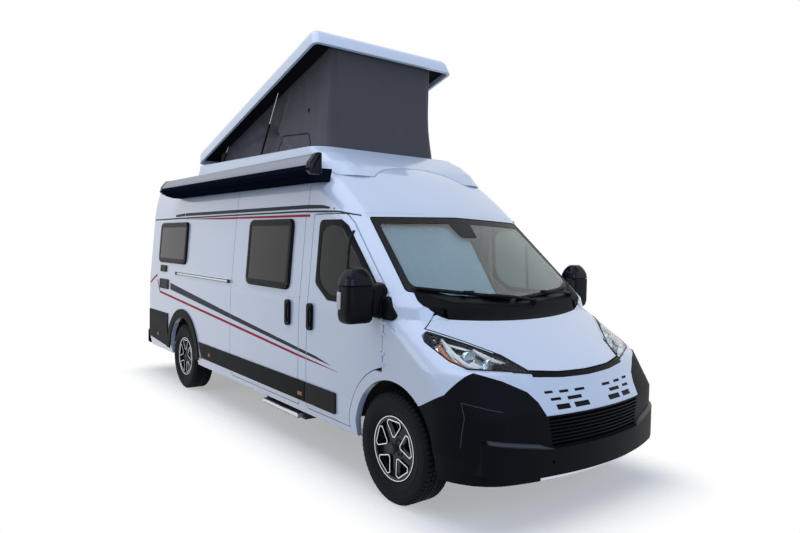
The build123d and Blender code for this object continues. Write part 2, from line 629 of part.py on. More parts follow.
# Black lower trims on the fixed sides
sill_trim = prism_y(
    [
        (-1280.0, SILL_TRIM_TOP_Z), (DOOR_REAR_X - 8, SILL_TRIM_TOP_Z),
        (DOOR_REAR_X - 8, SILL_TRIM_LOW_Z), (-1180.0, SILL_TRIM_LOW_Z),
    ],
    SILL_OUT_Y, SILL_SEAT_Y, SILL_TRIM_ROUND,
)
REAR_TRIM_OUTLINE = [(-3030.0, 820.0), (-2320.0, 820.0), (-2320.0, 420.0), (-3030.0, 470.0)]
rear_trim = prism_y(REAR_TRIM_OUTLINE, -1037.0, -SKIN_Y - SEAT_GAP, 6.0)
flare = rod_y(REAR_AXLE_X, ARCH_Z, ARCH_RADIUS + 92.0, -1039.0, -SKIN_Y - 0.4) - arch_rear - under_rear
flare = flare & block(-3000.0, 0.0, -1100.0, -900.0, ARCH_Z + 12.0, 1200.0)
flare = flare - block(-3000.0, -2322.0, -1100.0, -900.0, 0.0, 1200.0)
right_trims = [sill_trim, rear_trim, flare]
side_trims = Compound(right_trims + [flip(t) for t in right_trims])

# Rail of the sliding door, flaps and handle
slide_rail = block(-2040.0, -460.0, -1032.0, -1014.4, 1316.0, 1346.0)
FLAP_SEAT_Y = 1023.35
flap_low = Rot(90, 0, 0) * extrude(RectangleRounded(310, 118, 16), amount=10.0, dir=(0, 0, 1))
flap_low = Pos(-2465.0, -FLAP_SEAT_Y, 1180.0) * flap_low
flap_high = tilted(-1, -2620.0, -2420.0, 1328.0, 1408.0, SEAT_GAP, 12.0, 12.0)
side_fittings = Compound([slider_handle, flap_low, flap_high])

# Rear bumper and tail lamps
rear_bumper = block(-NOSE_X, -3150.4, -1010.0, 1010.0, 345.0, 545.0)
rear_bumper = fillet(rear_bumper.edges().filter_by(Axis.X), 40)
rear_bumper = fillet(rear_bumper.faces().sort_by(Axis.X)[0].edges(), 12)
lamp_prism_right = block(-3300.0, -3072.0, -1030.0, -893.0, 870.0, 1500.0)
rear_lamps = (side_right & lamp_prism_right) + (side_left & flip(lamp_prism_right))
side_right = side_right - lamp_prism_right
side_left = side_left - flip(lamp_prism_right)

# Wheel at its own centre, axle along Y, outer face towards -Y
BEAD_HALF = 82.0
bead_radius = RIM_RADIUS + SEAT_GAP
# Half profile from bead to tread edge: (radius, half_width)
TYRE_HALF_PROFILE = [
    (bead_radius, BEAD_HALF), (268.0, TYRE_WIDTH / 2 - 6.0), (312.0, TYRE_WIDTH / 2),
    (346.0, TYRE_WIDTH / 2 - 6.0), (366.0, TYRE_WIDTH / 2 - 20.0), (TYRE_RADIUS, TYRE_WIDTH / 2 - 36.0),
]
tyre_profile = TYRE_HALF_PROFILE + [(radius, -half) for radius, half in reversed(TYRE_HALF_PROFILE)]
tyre = revolve(polygon(tyre_profile), Axis.Y)
rim_half = RIM_WIDTH / 2
barrel_profile = [
    (RIM_RADIUS - 14, -rim_half - 4), (RIM_RADIUS + 12, -rim_half - 4), (RIM_RADIUS + 12, -rim_half + 2),
    (RIM_RADIUS, -rim_half + 2), (RIM_RADIUS, rim_half - 2), (RIM_RADIUS + 12, rim_half - 2),
    (RIM_RADIUS + 12, rim_half + 4), (RIM_RADIUS - 14, rim_half + 4),
]
SPOKES = 5
BOSS_RADIUS = 64.0
# One window between two spokes, across and out from the wheel's centre
WHEEL_WINDOW = [(-8.0, 80.0), (8.0, 80.0), (70.0, 160.0), (58.0, 182.0), (-58.0, 182.0), (-70.0, 160.0)]
WINDOW_ROUND = 8.0
HUB_OUT = 70.0
FACE_OUT = 62.0
FACE_IN = 34.0
disc = Rot(90, 0, 0) * Cylinder(RIM_RADIUS - 6, FACE_OUT - FACE_IN)
disc = Pos(0, -(FACE_OUT + FACE_IN) / 2, 0) * disc
boss = Pos(0, -(HUB_OUT + 12) / 2, 0) * Rot(90, 0, 0) * Cylinder(BOSS_RADIUS, HUB_OUT - 12)
for i in range(SPOKES):
    turn = Rot(0, 360.0 / SPOKES * i, 0)
    disc = disc - turn * prism_y(WHEEL_WINDOW, -100.0, 0.0, WINDOW_ROUND)
rim = revolve(polygon(barrel_profile), Axis.Y) + disc + boss
rim = rim - rod_y(0.0, 0.0, HUB_RADIUS + RUN_CLEARANCE, -200.0, 200.0)

# Hub side of a wheel: flange, spindle and brake disc, at the wheel's own centre
hub = rod_y(0.0, 0.0, HUB_RADIUS, -HUB_OUT - 2, 20.0) + rod_y(0.0, 0.0, 72.0, -10.0, 20.0)
hub = hub + rod_y(0.0, 0.0, 150.0, 12.0, 36.0)
axle_z = TYRE_RADIUS
front_y = FRONT_TRACK / 2
rear_y = REAR_TRACK / 2
pin_inset = front_y - KINGPIN_Y
knuckle = hub + block(-60.0, 60.0, 30.0, 80.0, -135.0, 150.0)
knuckle = knuckle + block(-45.0, 45.0, 60.0, pin_inset + 40.0, -112.0, -62.0)
knuckle = knuckle - rod_z(0.0, pin_inset, KINGPIN_RADIUS + RUN_CLEARANCE, -200.0, -40.0)
knuckle_right = Pos(FRONT_AXLE_X, -front_y, axle_z) * knuckle

# Front subframe with its arms and kingpins
RAIL_IN = 440.0
RAIL_OUT = 520.0
RAIL_LOW_Z = 400.0
arm_z = axle_z - 115.0
subframe = block(FRONT_AXLE_X - 160.0, FRONT_AXLE_X + 160.0, -RAIL_OUT, RAIL_OUT, arm_z - 30.0, arm_z + 60.0)
for side in (-1, 1):
    arm = prism_z(
        [
            (FRONT_AXLE_X - 150.0, side * 480.0), (FRONT_AXLE_X + 150.0, side * 480.0),
            (FRONT_AXLE_X + 34.0, side * (KINGPIN_Y + 30.0)), (FRONT_AXLE_X - 34.0, side * (KINGPIN_Y + 30.0)),
        ],
        arm_z - 30.0, arm_z,
    )
    leg_y = sorted((side * RAIL_IN, side * RAIL_OUT))
    leg = block(FRONT_AXLE_X - 60.0, FRONT_AXLE_X + 60.0, leg_y[0], leg_y[1], arm_z, RAIL_LOW_Z - SEAT_GAP)
    kingpin = rod_z(FRONT_AXLE_X, side * KINGPIN_Y, KINGPIN_RADIUS, arm_z - 10.0, axle_z - 66.0)
    subframe = subframe + arm + leg + kingpin

# Rear axle with spindles and leaf springs
rear_axle = rod_y(REAR_AXLE_X, axle_z, 45.0, -rear_y + 36.0, rear_y - 36.0)
rear_axle = rear_axle + Pos(REAR_AXLE_X, -rear_y, axle_z) * hub + Pos(REAR_AXLE_X, rear_y, axle_z) * flip(hub)
for side in (-1, 1):
    leaf = prism_y(
        [
            (REAR_AXLE_X - 680.0, 470.0), (REAR_AXLE_X - 640.0, 400.0), (REAR_AXLE_X - 250.0, 312.0),
            (REAR_AXLE_X + 250.0, 312.0), (REAR_AXLE_X + 640.0, 400.0), (REAR_AXLE_X + 680.0, 470.0),
            (REAR_AXLE_X + 620.0, 470.0), (REAR_AXLE_X + 590.0, 420.0), (REAR_AXLE_X + 240.0, 340.0),
            (REAR_AXLE_X - 240.0, 340.0), (REAR_AXLE_X - 590.0, 420.0), (REAR_AXLE_X - 620.0, 470.0),
        ],
        side * 600.0 - 35.0, side * 600.0 + 35.0,
    )
    rear_axle = rear_axle + leaf

# Floor with firewall and front rails, cut out over the wheels
FLOOR_HALF = 969.5
CAB_FLOOR_HALF = 962.0
floor = block(-3095.0, DOOR_REAR_X - 40.0, -FLOOR_HALF, FLOOR_HALF, FLOOR_LOW_Z, FLOOR_TOP_Z)
floor = fillet(floor.edges().filter_by(Axis.Z).group_by(Axis.X)[0], 100)
floor = floor + block(DOOR_REAR_X - 41.0, FIREWALL_X, -CAB_FLOOR_HALF, CAB_FLOOR_HALF, FLOOR_LOW_Z, FLOOR_TOP_Z)
floor = floor + block(FIREWALL_X - 30.0, FIREWALL_X, -880.0, 880.0, FLOOR_LOW_Z, 1120.0)
for side in (-1, 1):
    rail_y = sorted((side * RAIL_IN, side * RAIL_OUT))
    floor = floor + block(1700.0, 2720.0, rail_y[0], rail_y[1], RAIL_LOW_Z, FLOOR_LOW_Z + 10.0)
LINER = 12.0
LINER_OUT = 940.0
wheel_liners = []
for side in (-1, 1):
    for axle_x in (FRONT_AXLE_X, REAR_AXLE_X):
        out_y = sorted((side * WELL_INNER_Y, side * 1000.0))
        floor = floor - rod_y(axle_x, ARCH_Z, WELL_RADIUS + LINER + SEAT_GAP, out_y[0], out_y[1])
        liner_y = sorted((side * WELL_INNER_Y, side * LINER_OUT))
        cap_y = sorted((side * WELL_INNER_Y, side * (WELL_INNER_Y + LINER)))
        barrel = rod_y(axle_x, ARCH_Z, WELL_RADIUS + LINER, liner_y[0], liner_y[1])
        hollow = rod_y(axle_x, ARCH_Z, WELL_RADIUS, -1200.0, 1200.0)
        end = rod_y(axle_x, ARCH_Z, WELL_RADIUS + LINER, cap_y[0], cap_y[1])
        band = block(axle_x - 600.0, axle_x + 600.0, -1100.0, 1100.0, FLOOR_LOW_Z, 1000.0)
        wheel_liners.append(((barrel - hollow) + end) & band)
floor = floor.solids().sort_by(SortBy.VOLUME)[-1]

# Engine, exhaust, tank
engine = block(2260.0, 2780.0, -400.0, 400.0, RAIL_LOW_Z, 950.0)
engine = engine + block(2400.0, 2500.0, -RAIL_IN + SEAT_GAP, RAIL_IN - SEAT_GAP, 420.0, 470.0)
exhaust = rod_x(-330.0, 425.0, 28.0, -1000.0, 1900.0)
exhaust = exhaust + block(-600.0, 200.0, -430.0, -230.0, 370.0, FLOOR_LOW_Z - SEAT_GAP)
tank = fillet(block(-300.0, 800.0, 250.0, 820.0, 290.0, FLOOR_LOW_Z - SEAT_GAP).edges().filter_by(Axis.Z), 30)

# Cab interior
dash_profile = [
    (2119.6, 1120.4), (2119.6, 1290.0), (2000.0, 1300.0), (1900.0, 1225.0),
    (1870.0, 1000.0), (1960.0, 900.0), (2119.6, 900.0),
]
dashboard = prism_y(dash_profile, -880.0, 880.0, 12.0)
WHEEL_Y = 420.0
COLUMN_TILT = 118.0
column_place = Pos(1830.0, WHEEL_Y, 1130.0) * Rot(0, COLUMN_TILT, 0)
column = column_place * (Pos(0, 0, 60.0) * (Cylinder(26.0, 120.0) - Cylinder(10.0 + RUN_CLEARANCE, 140.0)))
dashboard = dashboard + column - column_place * Pos(0, 0, 60.0) * Cylinder(10.0 + RUN_CLEARANCE, 150.0)
wheel_ring = Torus(188.0, 15.0)
wheel_boss = Cylinder(48.0, 40.0)
cross_spoke = Rot(0, 0, 90) * Box(370.0, 44.0, 16.0)
low_spoke = Pos(93.0, 0, 0) * Box(186.0, 40.0, 16.0)
steer_wheel = wheel_ring + wheel_boss + cross_spoke + low_spoke
steer_wheel = Pos(0, 0, -36.0) * steer_wheel + Pos(0, 0, 30.0) * Cylinder(10.0, 130.0)
steer_wheel = column_place * steer_wheel


def seat(y):
    base = block(1060.0, 1420.0, y - 190.0, y + 190.0, FLOOR_TOP_Z + SEAT_GAP, 800.0)
    cushion = fillet(block(1020.0, 1540.0, y - 250.0, y + 250.0, 790.0, 930.0).edges(), 40)
    back = fillet(Box(130.0, 480.0, 680.0).edges(), 45)
    back = Pos(1020.0, y, 1220.0) * Rot(0, -10, 0) * back
    rest_head = fillet(Box(95.0, 260.0, 210.0).edges(), 38)
    rest_head = Pos(945.0, y, 1640.0) * Rot(0, -8, 0) * rest_head
    stalk = Pos(955.0, y, 1550.0) * Box(24.0, 130.0, 120.0)
    return base + cushion + back + rest_head + stalk


cab_seats = Compound([seat(-430.0), seat(430.0)])
kitchen = block(-1250.0, -460.0, -940.0, -420.0, FLOOR_TOP_Z + SEAT_GAP, 1290.0)
wardrobe = block(-1250.0, -420.0, 330.0, 905.0, FLOOR_TOP_Z + SEAT_GAP, 1900.0)
bed_board = block(-1330.0, -1300.0, -540.0, 540.0, FLOOR_TOP_Z + SEAT_GAP, 1000.0)
bed = block(-3060.0, -1290.0, -950.0, 950.0, 980.0, 1130.0) + bed_board
bench = block(-300.0, 300.0, 380.0, 930.0, FLOOR_TOP_Z + SEAT_GAP, 980.0)
furniture = Compound([kitchen, wardrobe, bed, bench])

# Entry step under the sliding door
STEP_X = 570.0
STEP_HALF = 330.0
STEP_LOW_Z = 265.0
STEP_TOP_Z = 300.0
cassette = block(STEP_X - 360.0, STEP_X + 360.0, -930.0, -600.0, 250.0, 322.0)
cassette = cassette - block(
    STEP_X - STEP_HALF - 5, STEP_X + STEP_HALF + 5, -1000.0, -630.0, STEP_LOW_Z - SEAT_GAP, STEP_TOP_Z + 5
)
for hang_x in (STEP_X - 320.0, STEP_X + 320.0):
    cassette = cassette + block(hang_x - 25.0, hang_x + 25.0, -900.0, -620.0, 310.0, FLOOR_LOW_Z - SEAT_GAP)
entry_step = block(STEP_X - STEP_HALF, STEP_X + STEP_HALF, -985.0, -640.0, STEP_LOW_Z, STEP_TOP_Z)

# Cab door hinges on the skin at the door's front edge
PIN = 5.0
EYE = 10.0
EYE_HALF = 25.0
EAR = 22.0
for hinge_z in (960.0, 1170.0):
    axis = (DOOR_FRONT_X, -SKIN_Y)
    eye = rod_z(*axis, EYE, hinge_z - EYE_HALF, hinge_z + EYE_HALF)
    leaf_low, leaf_top = hinge_z - EYE_HALF, hinge_z + EYE_HALF
    eye = eye + block(axis[0] - 34.0, axis[0] - 4.0, axis[1] - 8.0, axis[1] + 12.0, leaf_low, leaf_top)
    ears = rod_z(*axis, PIN, hinge_z - EYE_HALF - EAR - 2, hinge_z + EYE_HALF + EAR + 2)
    room = rod_z(*axis, EYE + 5, hinge_z - EYE_HALF - 1, hinge_z + EYE_HALF + 1)
    wing_right = wing_right - room
    door_right = door_right - rod_z(*axis, EYE + 6, hinge_z - EYE_HALF - EAR - 6, hinge_z + EYE_HALF + EAR + 6)
    for low in (hinge_z - EYE_HALF - EAR - 1, hinge_z + EYE_HALF + 1):
        ears = ears + rod_z(*axis, EYE, low, low + EAR)
        ears = ears + block(axis[0] + 4.0, axis[0] + 30.0, axis[1] - 8.0, axis[1] + 12.0, low, low + EAR)
    door_right = door_right + (eye - rod_z(*axis, PIN + RUN_CLEARANCE, 800.0, 1300.0))
    wing_right = wing_right + ears

# Rear door hinges just outside the skin at each outer edge
REAR_AXIS = (-3167.0, REAR_DOOR_HALF + 4.0)
rear_ears = []
for hinge_z in (720.0, 1620.0):
    eye = rod_z(*REAR_AXIS, EYE, hinge_z - EYE_HALF, hinge_z + EYE_HALF)
    leaf_low, leaf_top = hinge_z - EYE_HALF, hinge_z + EYE_HALF
    eye = eye + block(REAR_AXIS[0] - 8.0, -3130.0, REAR_AXIS[1] - 40.0, REAR_AXIS[1] - 6.0, leaf_low, leaf_top)
    eye = eye - rod_z(*REAR_AXIS, PIN + RUN_CLEARANCE, 500.0, 2100.0)
    rear_door_left = rear_door_left + eye
    ears = rod_z(*REAR_AXIS, PIN, hinge_z - EYE_HALF - EAR - 2, hinge_z + EYE_HALF + EAR + 2)
    for low in (hinge_z - EYE_HALF - EAR - 1, hinge_z + EYE_HALF + 1):
        ears = ears + rod_z(*REAR_AXIS, EYE, low, low + EAR)
        ears = ears + block(REAR_AXIS[0] - 8.0, -3125.0, REAR_AXIS[1] + 4.0, REAR_AXIS[1] + 30.0, low, low + EAR)
    rear_ears.append(ears)
for ears in rear_ears:
    side_left = side_left + ears
    side_right = side_right + flip(ears)

# Bonnet hinges in pockets under the cowl's front edge: eye and gooseneck arm on the bonnet, pin in the cowl
BONNET_AXIS_X = 2355.0
BONNET_AXIS_Z = 1295.0
BONNET_PIN = 6.0
BONNET_EYE = 11.0
ARM_Y = 700.0
ARM_HALF = 14.0
POCKET_HALF = 19.0
PIN_HALF = 34.0
# Corners from the axis, ahead and up
ARM_SHAPE = [
    (-8.0, -4.0), (8.0, -4.0), (16.0, -48.0), (60.0, -58.0), (60.0, -82.0), (4.0, -70.0), (-10.0, -48.0),
]
POCKET_SHAPE = [(-20.0, 13.0), (60.0, 13.0), (60.0, -170.0), (-20.0, -170.0)]


def beside_axis(corners):
    return [(BONNET_AXIS_X + ahead, BONNET_AXIS_Z + up) for ahead, up in corners]


for side in (-1, 1):
    y = side * ARM_Y
    arm = prism_y(beside_axis(ARM_SHAPE), y - ARM_HALF, y + ARM_HALF)
    arm = arm + rod_y(BONNET_AXIS_X, BONNET_AXIS_Z, BONNET_EYE, y - ARM_HALF, y + ARM_HALF)
    arm = arm - rod_y(BONNET_AXIS_X, BONNET_AXIS_Z, BONNET_PIN + RUN_CLEARANCE, y - PIN_HALF, y + PIN_HALF)
    cowl = cowl - prism_y(beside_axis(POCKET_SHAPE), y - POCKET_HALF, y + POCKET_HALF)
    cowl = cowl + rod_y(BONNET_AXIS_X, BONNET_AXIS_Z, BONNET_PIN, y - PIN_HALF, y + PIN_HALF)
    bonnet = bonnet + arm

# Roof shell hinges on the collar's rear edge
ROOF_PIN = 8.0
for side in (-1, 1):
    y = side * 500.0
    room = block(-60.0, 60.0, y - 36.0, y + 36.0, -40.0, 40.0)
    eyes = block(-10.0, 22.0, y - 90.0, y - 36.0, -12.0, 30.0)
    eyes = eyes + block(-10.0, 22.0, y + 36.0, y + 90.0, -12.0, 30.0)
    hole = rod_y(0.0, 0.0, ROOF_PIN + RUN_CLEARANCE, y - 100.0, y + 100.0)
    bore = rod_y(0.0, 0.0, ROOF_PIN + RUN_CLEARANCE, y - 92.0, y + 92.0)
    roof_shell = roof_shell - raise_turn * room - raise_turn * bore + raise_turn * (eyes - hole)
    post = block(ROOF_HINGE_X - 14.0, ROOF_HINGE_X + 14.0, y - 30.0, y + 30.0, 2590.0, ROOF_HINGE_Z + 14.0)
    collar = collar + post + rod_y(ROOF_HINGE_X, ROOF_HINGE_Z, ROOF_PIN, y - 88.0, y + 88.0)

wheel_places = {
    "front_right": (FRONT_AXLE_X, -front_y, 0),
    "front_left": (FRONT_AXLE_X, front_y, 180),
    "rear_right": (REAR_AXLE_X, -rear_y, 0),
    "rear_left": (REAR_AXLE_X, rear_y, 180),
}
for corner, (x, y, turn) in wheel_places.items():
    place = Pos(x, y, axle_z) * Rot(0, 0, turn)
    keep(f"tyre_{corner}", place * tyre)
    keep(f"rim_{corner}", place * rim)

keep("side_panel_right", side_right)
keep("side_panel_left", side_left)
keep("roof_panel", roof_panel)
keep("floor_pan", floor)
keep("wing_right", wing_right)
keep("wing_left", flip(wing_right))
keep("bonnet", bonnet)
keep("cowl_panel", cowl)
keep("headlamps", headlamps)
keep("nose_strip", nose_strip)
keep("grille_panel", grille_panel)
keep("front_bumper", bumper)
keep("windscreen", windscreen)
keep("front_door_right", door_right)
keep("front_door_left", flip(door_right))
keep("door_glass_right", door_glass_right)
keep("door_glass_left", flip(door_glass_right))
keep("door_trim_right", door_trim_right)
keep("door_trim_left", flip(door_trim_right))
keep("sliding_door", sliding_door)
keep("slide_rail", slide_rail)
keep("side_fittings", side_fittings)
keep("camper_windows", Compound(window_panes))
keep("rear_door_left", rear_door_left)
keep("rear_door_right", flip(rear_door_left))
keep("rear_glass_left", rear_glass_left)
keep("rear_glass_right", flip(rear_glass_left))
keep("rear_bumper", rear_bumper)
keep("rear_lamps", rear_lamps)
keep("side_trims", side_trims)
keep("roof_collar", collar)
keep("roof_shell", roof_shell)
keep("roof_canvas", canvas)
keep("awning_case", awning_case)
keep("awning_rail", awning_rail)
keep("knuckle_right", knuckle_right)
keep("knuckle_left", flip(knuckle_right))
keep("front_subframe", subframe)
keep("rear_axle", rear_axle)
keep("engine_block", engine)
keep("exhaust", exhaust)
keep("fuel_tank", tank)
keep("wheel_liners", Compound(wheel_liners))
keep("dashboard", dashboard)
keep("steering_wheel", steer_wheel)
keep("cab_seats", cab_seats)
keep("furniture", furniture)
keep("step_cassette", cassette)
keep("entry_step", entry_step)

for name, shape in parts.items():
    solids = shape.solids()
    print(name, len(solids), [round(s.volume / 1e6, 2) for s in solids], shape.bounding_box())
    export_step(shape, f"parts/{name}.step")
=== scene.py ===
import math

import bmesh
import bpy
from mathutils import Matrix, Vector, noise
from mathutils.bvhtree import BVHTree


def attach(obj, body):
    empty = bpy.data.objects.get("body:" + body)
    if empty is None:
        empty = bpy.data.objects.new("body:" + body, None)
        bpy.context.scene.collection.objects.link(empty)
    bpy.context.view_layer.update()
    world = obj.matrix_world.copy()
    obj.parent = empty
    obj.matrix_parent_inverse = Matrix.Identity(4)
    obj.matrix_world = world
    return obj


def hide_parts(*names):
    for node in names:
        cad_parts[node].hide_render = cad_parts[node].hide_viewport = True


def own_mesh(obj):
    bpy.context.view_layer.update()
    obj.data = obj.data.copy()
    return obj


# Looks of the camper van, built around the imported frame. Metres, X forward, Y to the left, Z up.
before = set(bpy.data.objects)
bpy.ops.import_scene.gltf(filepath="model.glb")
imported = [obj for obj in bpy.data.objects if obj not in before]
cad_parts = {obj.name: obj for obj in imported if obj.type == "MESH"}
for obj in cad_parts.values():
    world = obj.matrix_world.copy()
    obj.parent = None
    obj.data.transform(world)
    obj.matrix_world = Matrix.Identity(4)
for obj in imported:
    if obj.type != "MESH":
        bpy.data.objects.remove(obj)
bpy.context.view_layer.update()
scene = bpy.context.scene
print("frame loaded,", len(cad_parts), "nodes")


def hexColor(text):
    def linear(value):
        return value / 12.92 if value <= 0.04045 else ((value + 0.055) / 1.055) ** 2.4
    parts = [int(text[i:i + 2], 16) / 255 for i in (1, 3, 5)]
    return tuple(linear(p) for p in parts) + (1.0,)


def addNode(tree, kind, settings=None, links=None):
    node = tree.nodes.new(kind)
    for key, value in (settings or {}).items():
        if isinstance(key, str) and hasattr(node, key):
            setattr(node, key, value)
        else:
            node.inputs[key].default_value = value
    for key, output in (links or {}).items():
        tree.links.new(output, node.inputs[key])
    return node


# Camera at the photograph's place and angle
view = {
    "place": (5.5763, -3.5733, 1.7633),
    "yaw": 142.094,
    "pitch": -2.286,
    "roll": 1.075,
    "lens": 28.64,
    "sensorWidth": 36.0,
    "farClip": 200.0,
}


def placeCamera():
    yaw, pitch, roll = (math.radians(view[k]) for k in ("yaw", "pitch", "roll"))
    ahead = Vector((math.cos(yaw) * math.cos(pitch), math.sin(yaw) * math.cos(pitch), math.sin(pitch)))
    level = Vector((math.sin(yaw), -math.cos(yaw), 0.0))
    upright = level.cross(ahead)
    right = level * math.cos(roll) + upright * math.sin(roll)
    up = upright * math.cos(roll) - level * math.sin(roll)
    data = bpy.data.cameras.new("photoCamera")
    data.sensor_fit = "HORIZONTAL"
    data.sensor_width = view["sensorWidth"]
    data.lens = view["lens"]
    data.clip_end = view["farClip"]
    eye = bpy.data.objects.new("photoCamera", data)
    turn = Matrix((right, up, -ahead)).transposed().to_4x4()
    eye.matrix_world = Matrix.Translation(view["place"]) @ turn
    scene.collection.objects.link(eye)
    scene.camera = eye


placeCamera()
scene.view_settings.view_transform = "Standard"

# White world for the eye, for gloss and for glass; a weaker cool sky for the light itself
studio = {
    "skyColor": "#c6d8f4",
    "skyStrength": 0.34,
    "floorColor": "#f4f4f5",
    "floorSize": (9.5, 6.5),
    "floorDrop": 0.0005,
    "shadowHalf": (2.9, 0.8, 0.0),    # the floor fades out from this half box
    "fadeStart": 0.0,
    "fadeEnd": 0.65,
    "fadeLeast": 0.38,
    "lamps": [  # name, place, aimed at, size, watts, colour
        ("topSoftbox", (1.0, -2.5, 8.0), (0.0, 0.0, 1.0), (9.0, 6.0), 270.0, "#d9e6fd"),
        ("sideSoftbox", (-2.5, -8.5, 3.6), (-0.5, 0.0, 1.3), (7.0, 4.0), 135.0, "#e2e6f6"),
        ("frontSoftbox", (9.5, -1.0, 4.2), (1.5, 0.0, 1.3), (5.0, 4.0), 170.0, "#b4d0ff"),
    ],
}


def lightStudio():
    world = bpy.data.worlds.new("studioWorld")
    world.use_nodes = True
    scene.world = world
    tree = world.node_tree
    tree.nodes.clear()
    path = addNode(tree, "ShaderNodeLightPath")
    seen = addNode(tree, "ShaderNodeMath", {"operation": "MAXIMUM"},
                   {0: path.outputs["Is Camera Ray"], 1: path.outputs["Is Glossy Ray"]})
    shown = addNode(tree, "ShaderNodeMath", {"operation": "MAXIMUM"},
                    {0: seen.outputs[0], 1: path.outputs["Is Transmission Ray"]})
    sky = addNode(tree, "ShaderNodeBackground",
                  {"Color": hexColor(studio["skyColor"]), "Strength": studio["skyStrength"]})
    white = addNode(tree, "ShaderNodeBackground", {"Color": (1, 1, 1, 1), "Strength": 1.0})
    both = addNode(tree, "ShaderNodeMixShader", None,
                   {0: shown.outputs[0], 1: sky.outputs[0], 2: white.outputs[0]})
    addNode(tree, "ShaderNodeOutputWorld", None, {"Surface": both.outputs[0]})
    for name, place, target, size, watts, color in studio["lamps"]:
        data = bpy.data.lights.new(name, "AREA")
        data.shape = "RECTANGLE"
        data.size, data.size_y = size
        data.energy = watts
        data.color = hexColor(color)[:3]
        softbox = bpy.data.objects.new(name, data)
        aim = (Vector(target) - Vector(place)).to_track_quat("-Z", "Y")
        softbox.matrix_world = Matrix.Translation(place) @ aim.to_matrix().to_4x4()
        scene.collection.objects.link(softbox)


def layFloor():
    wide, deep = studio["floorSize"]
    mesh = bpy.data.meshes.new("studioFloor")
    corners = [(-wide, -deep), (wide, -deep), (wide, deep), (-wide, deep)]
    mesh.from_pydata([(x, y, -studio["floorDrop"]) for x, y in corners], [], [(0, 1, 2, 3)])
    floor = bpy.data.objects.new("studioFloor", mesh)
    scene.collection.objects.link(floor)
    material = bpy.data.materials.new("paintedFloor")
    material.use_nodes = True
    tree = material.node_tree
    tree.nodes.clear()
    coords = addNode(tree, "ShaderNodeTexCoord")
    away = addNode(tree, "ShaderNodeVectorMath", {"operation": "ABSOLUTE"}, {0: coords.outputs["Object"]})
    past = addNode(tree, "ShaderNodeVectorMath", {"operation": "SUBTRACT", 1: studio["shadowHalf"]},
                   {0: away.outputs[0]})
    outside = addNode(tree, "ShaderNodeVectorMath", {"operation": "MAXIMUM", 1: (0.0, 0.0, 0.0)},
                      {0: past.outputs[0]})
    gap = addNode(tree, "ShaderNodeVectorMath", {"operation": "LENGTH"}, {0: outside.outputs[0]})
    fade = addNode(tree, "ShaderNodeMapRange",
                   {"interpolation_type": "SMOOTHSTEP", "From Min": studio["fadeStart"],
                    "From Max": studio["fadeEnd"], "To Min": studio["fadeLeast"]},
                   {"Value": gap.outputs["Value"]})
    matt = addNode(tree, "ShaderNodeBsdfDiffuse", {"Color": hexColor(studio["floorColor"])})
    clear = addNode(tree, "ShaderNodeBsdfTransparent")
    mix = addNode(tree, "ShaderNodeMixShader", None,
                  {0: fade.outputs["Result"], 1: matt.outputs[0], 2: clear.outputs[0]})
    addNode(tree, "ShaderNodeOutputMaterial", None, {"Surface": mix.outputs[0]})
    mesh.materials.append(material)


lightStudio()
layFloor()
print("camera, light and floor placed")


# Short names of the shader's sockets
socketNames = {
    "rough": "Roughness", "shine": "Specular IOR Level", "metal": "Metallic", "coat": "Coat Weight",
    "coatRough": "Coat Roughness", "clear": "Transmission Weight", "bend": "IOR", "nap": "Sheen Weight",
}


# A finish: settings go on the shader, mottle is (size in mm, share) of slow colour change,
# grain is (size in mm, depth in mm) of fine relief, edge is the rounding in mm that catches light at edges
def finish(name, color, mottle=(400.0, 0.02), grain=(3.0, 0.0), spread=0.05, edge=0.0, **settings):
    material = bpy.data.materials.new(name)
    material.use_nodes = True
    tree = material.node_tree
    shader = tree.nodes["Principled BSDF"]
    for key, value in settings.items():
        shader.inputs[socketNames[key]].default_value = value
    base = hexColor(color)
    coords = addNode(tree, "ShaderNodeTexCoord")
    slow = addNode(tree, "ShaderNodeTexNoise", {"Scale": 1000.0 / mottle[0], "Detail": 3.0},
                   {"Vector": coords.outputs["Object"]})
    shades = [tuple(min(1.0, c * (1 + s * mottle[1])) for c in base[:3]) + (1.0,) for s in (-2, 2)]
    tone = addNode(tree, "ShaderNodeMix", {"data_type": "RGBA", 6: shades[0], 7: shades[1]},
                   {0: slow.outputs[0]})
    tree.links.new(tone.outputs[2], shader.inputs["Base Color"])
    rough = settings.get("rough", 0.5)
    sheen = addNode(tree, "ShaderNodeMapRange",
                    {"To Min": max(0.0, rough - spread), "To Max": min(1.0, rough + spread)},
                    {"Value": slow.outputs[0]})
    tree.links.new(sheen.outputs[0], shader.inputs["Roughness"])
    normal = None
    if edge:
        normal = addNode(tree, "ShaderNodeBevel", {"samples": 4, "Radius": edge / 1000}).outputs[0]
    if grain[1]:
        fine = addNode(tree, "ShaderNodeTexNoise", {"Scale": 1000.0 / grain[0], "Detail": 2.0},
                       {"Vector": coords.outputs["Object"]})
        bump = addNode(tree, "ShaderNodeBump", {"Strength": 1.0, "Distance": grain[1] / 1000},
                       {"Height": fine.outputs[0]})
        if normal:
            tree.links.new(normal, bump.inputs["Normal"])
        normal = bump.outputs[0]
    if normal:
        tree.links.new(normal, shader.inputs["Normal"])
    return material


# Sprayed acrylic body enamel under clear coat: bright white with a long soft ripple in its reflections
bodyEnamel = finish("bodyEnamel", "#e4eaf4", rough=0.34, coat=1.0, coatRough=0.04, mottle=(700, 0.012),
                    grain=(260, 0.35), edge=3.0)
# Gel-coated fibreglass of the roof parts: a little duller and wavier than the enamel
gelCoat = finish("gelCoat", "#e2e9f3", rough=0.3, coat=0.6, coatRough=0.1, mottle=(500, 0.015),
                 grain=(190, 0.5), edge=8.0)
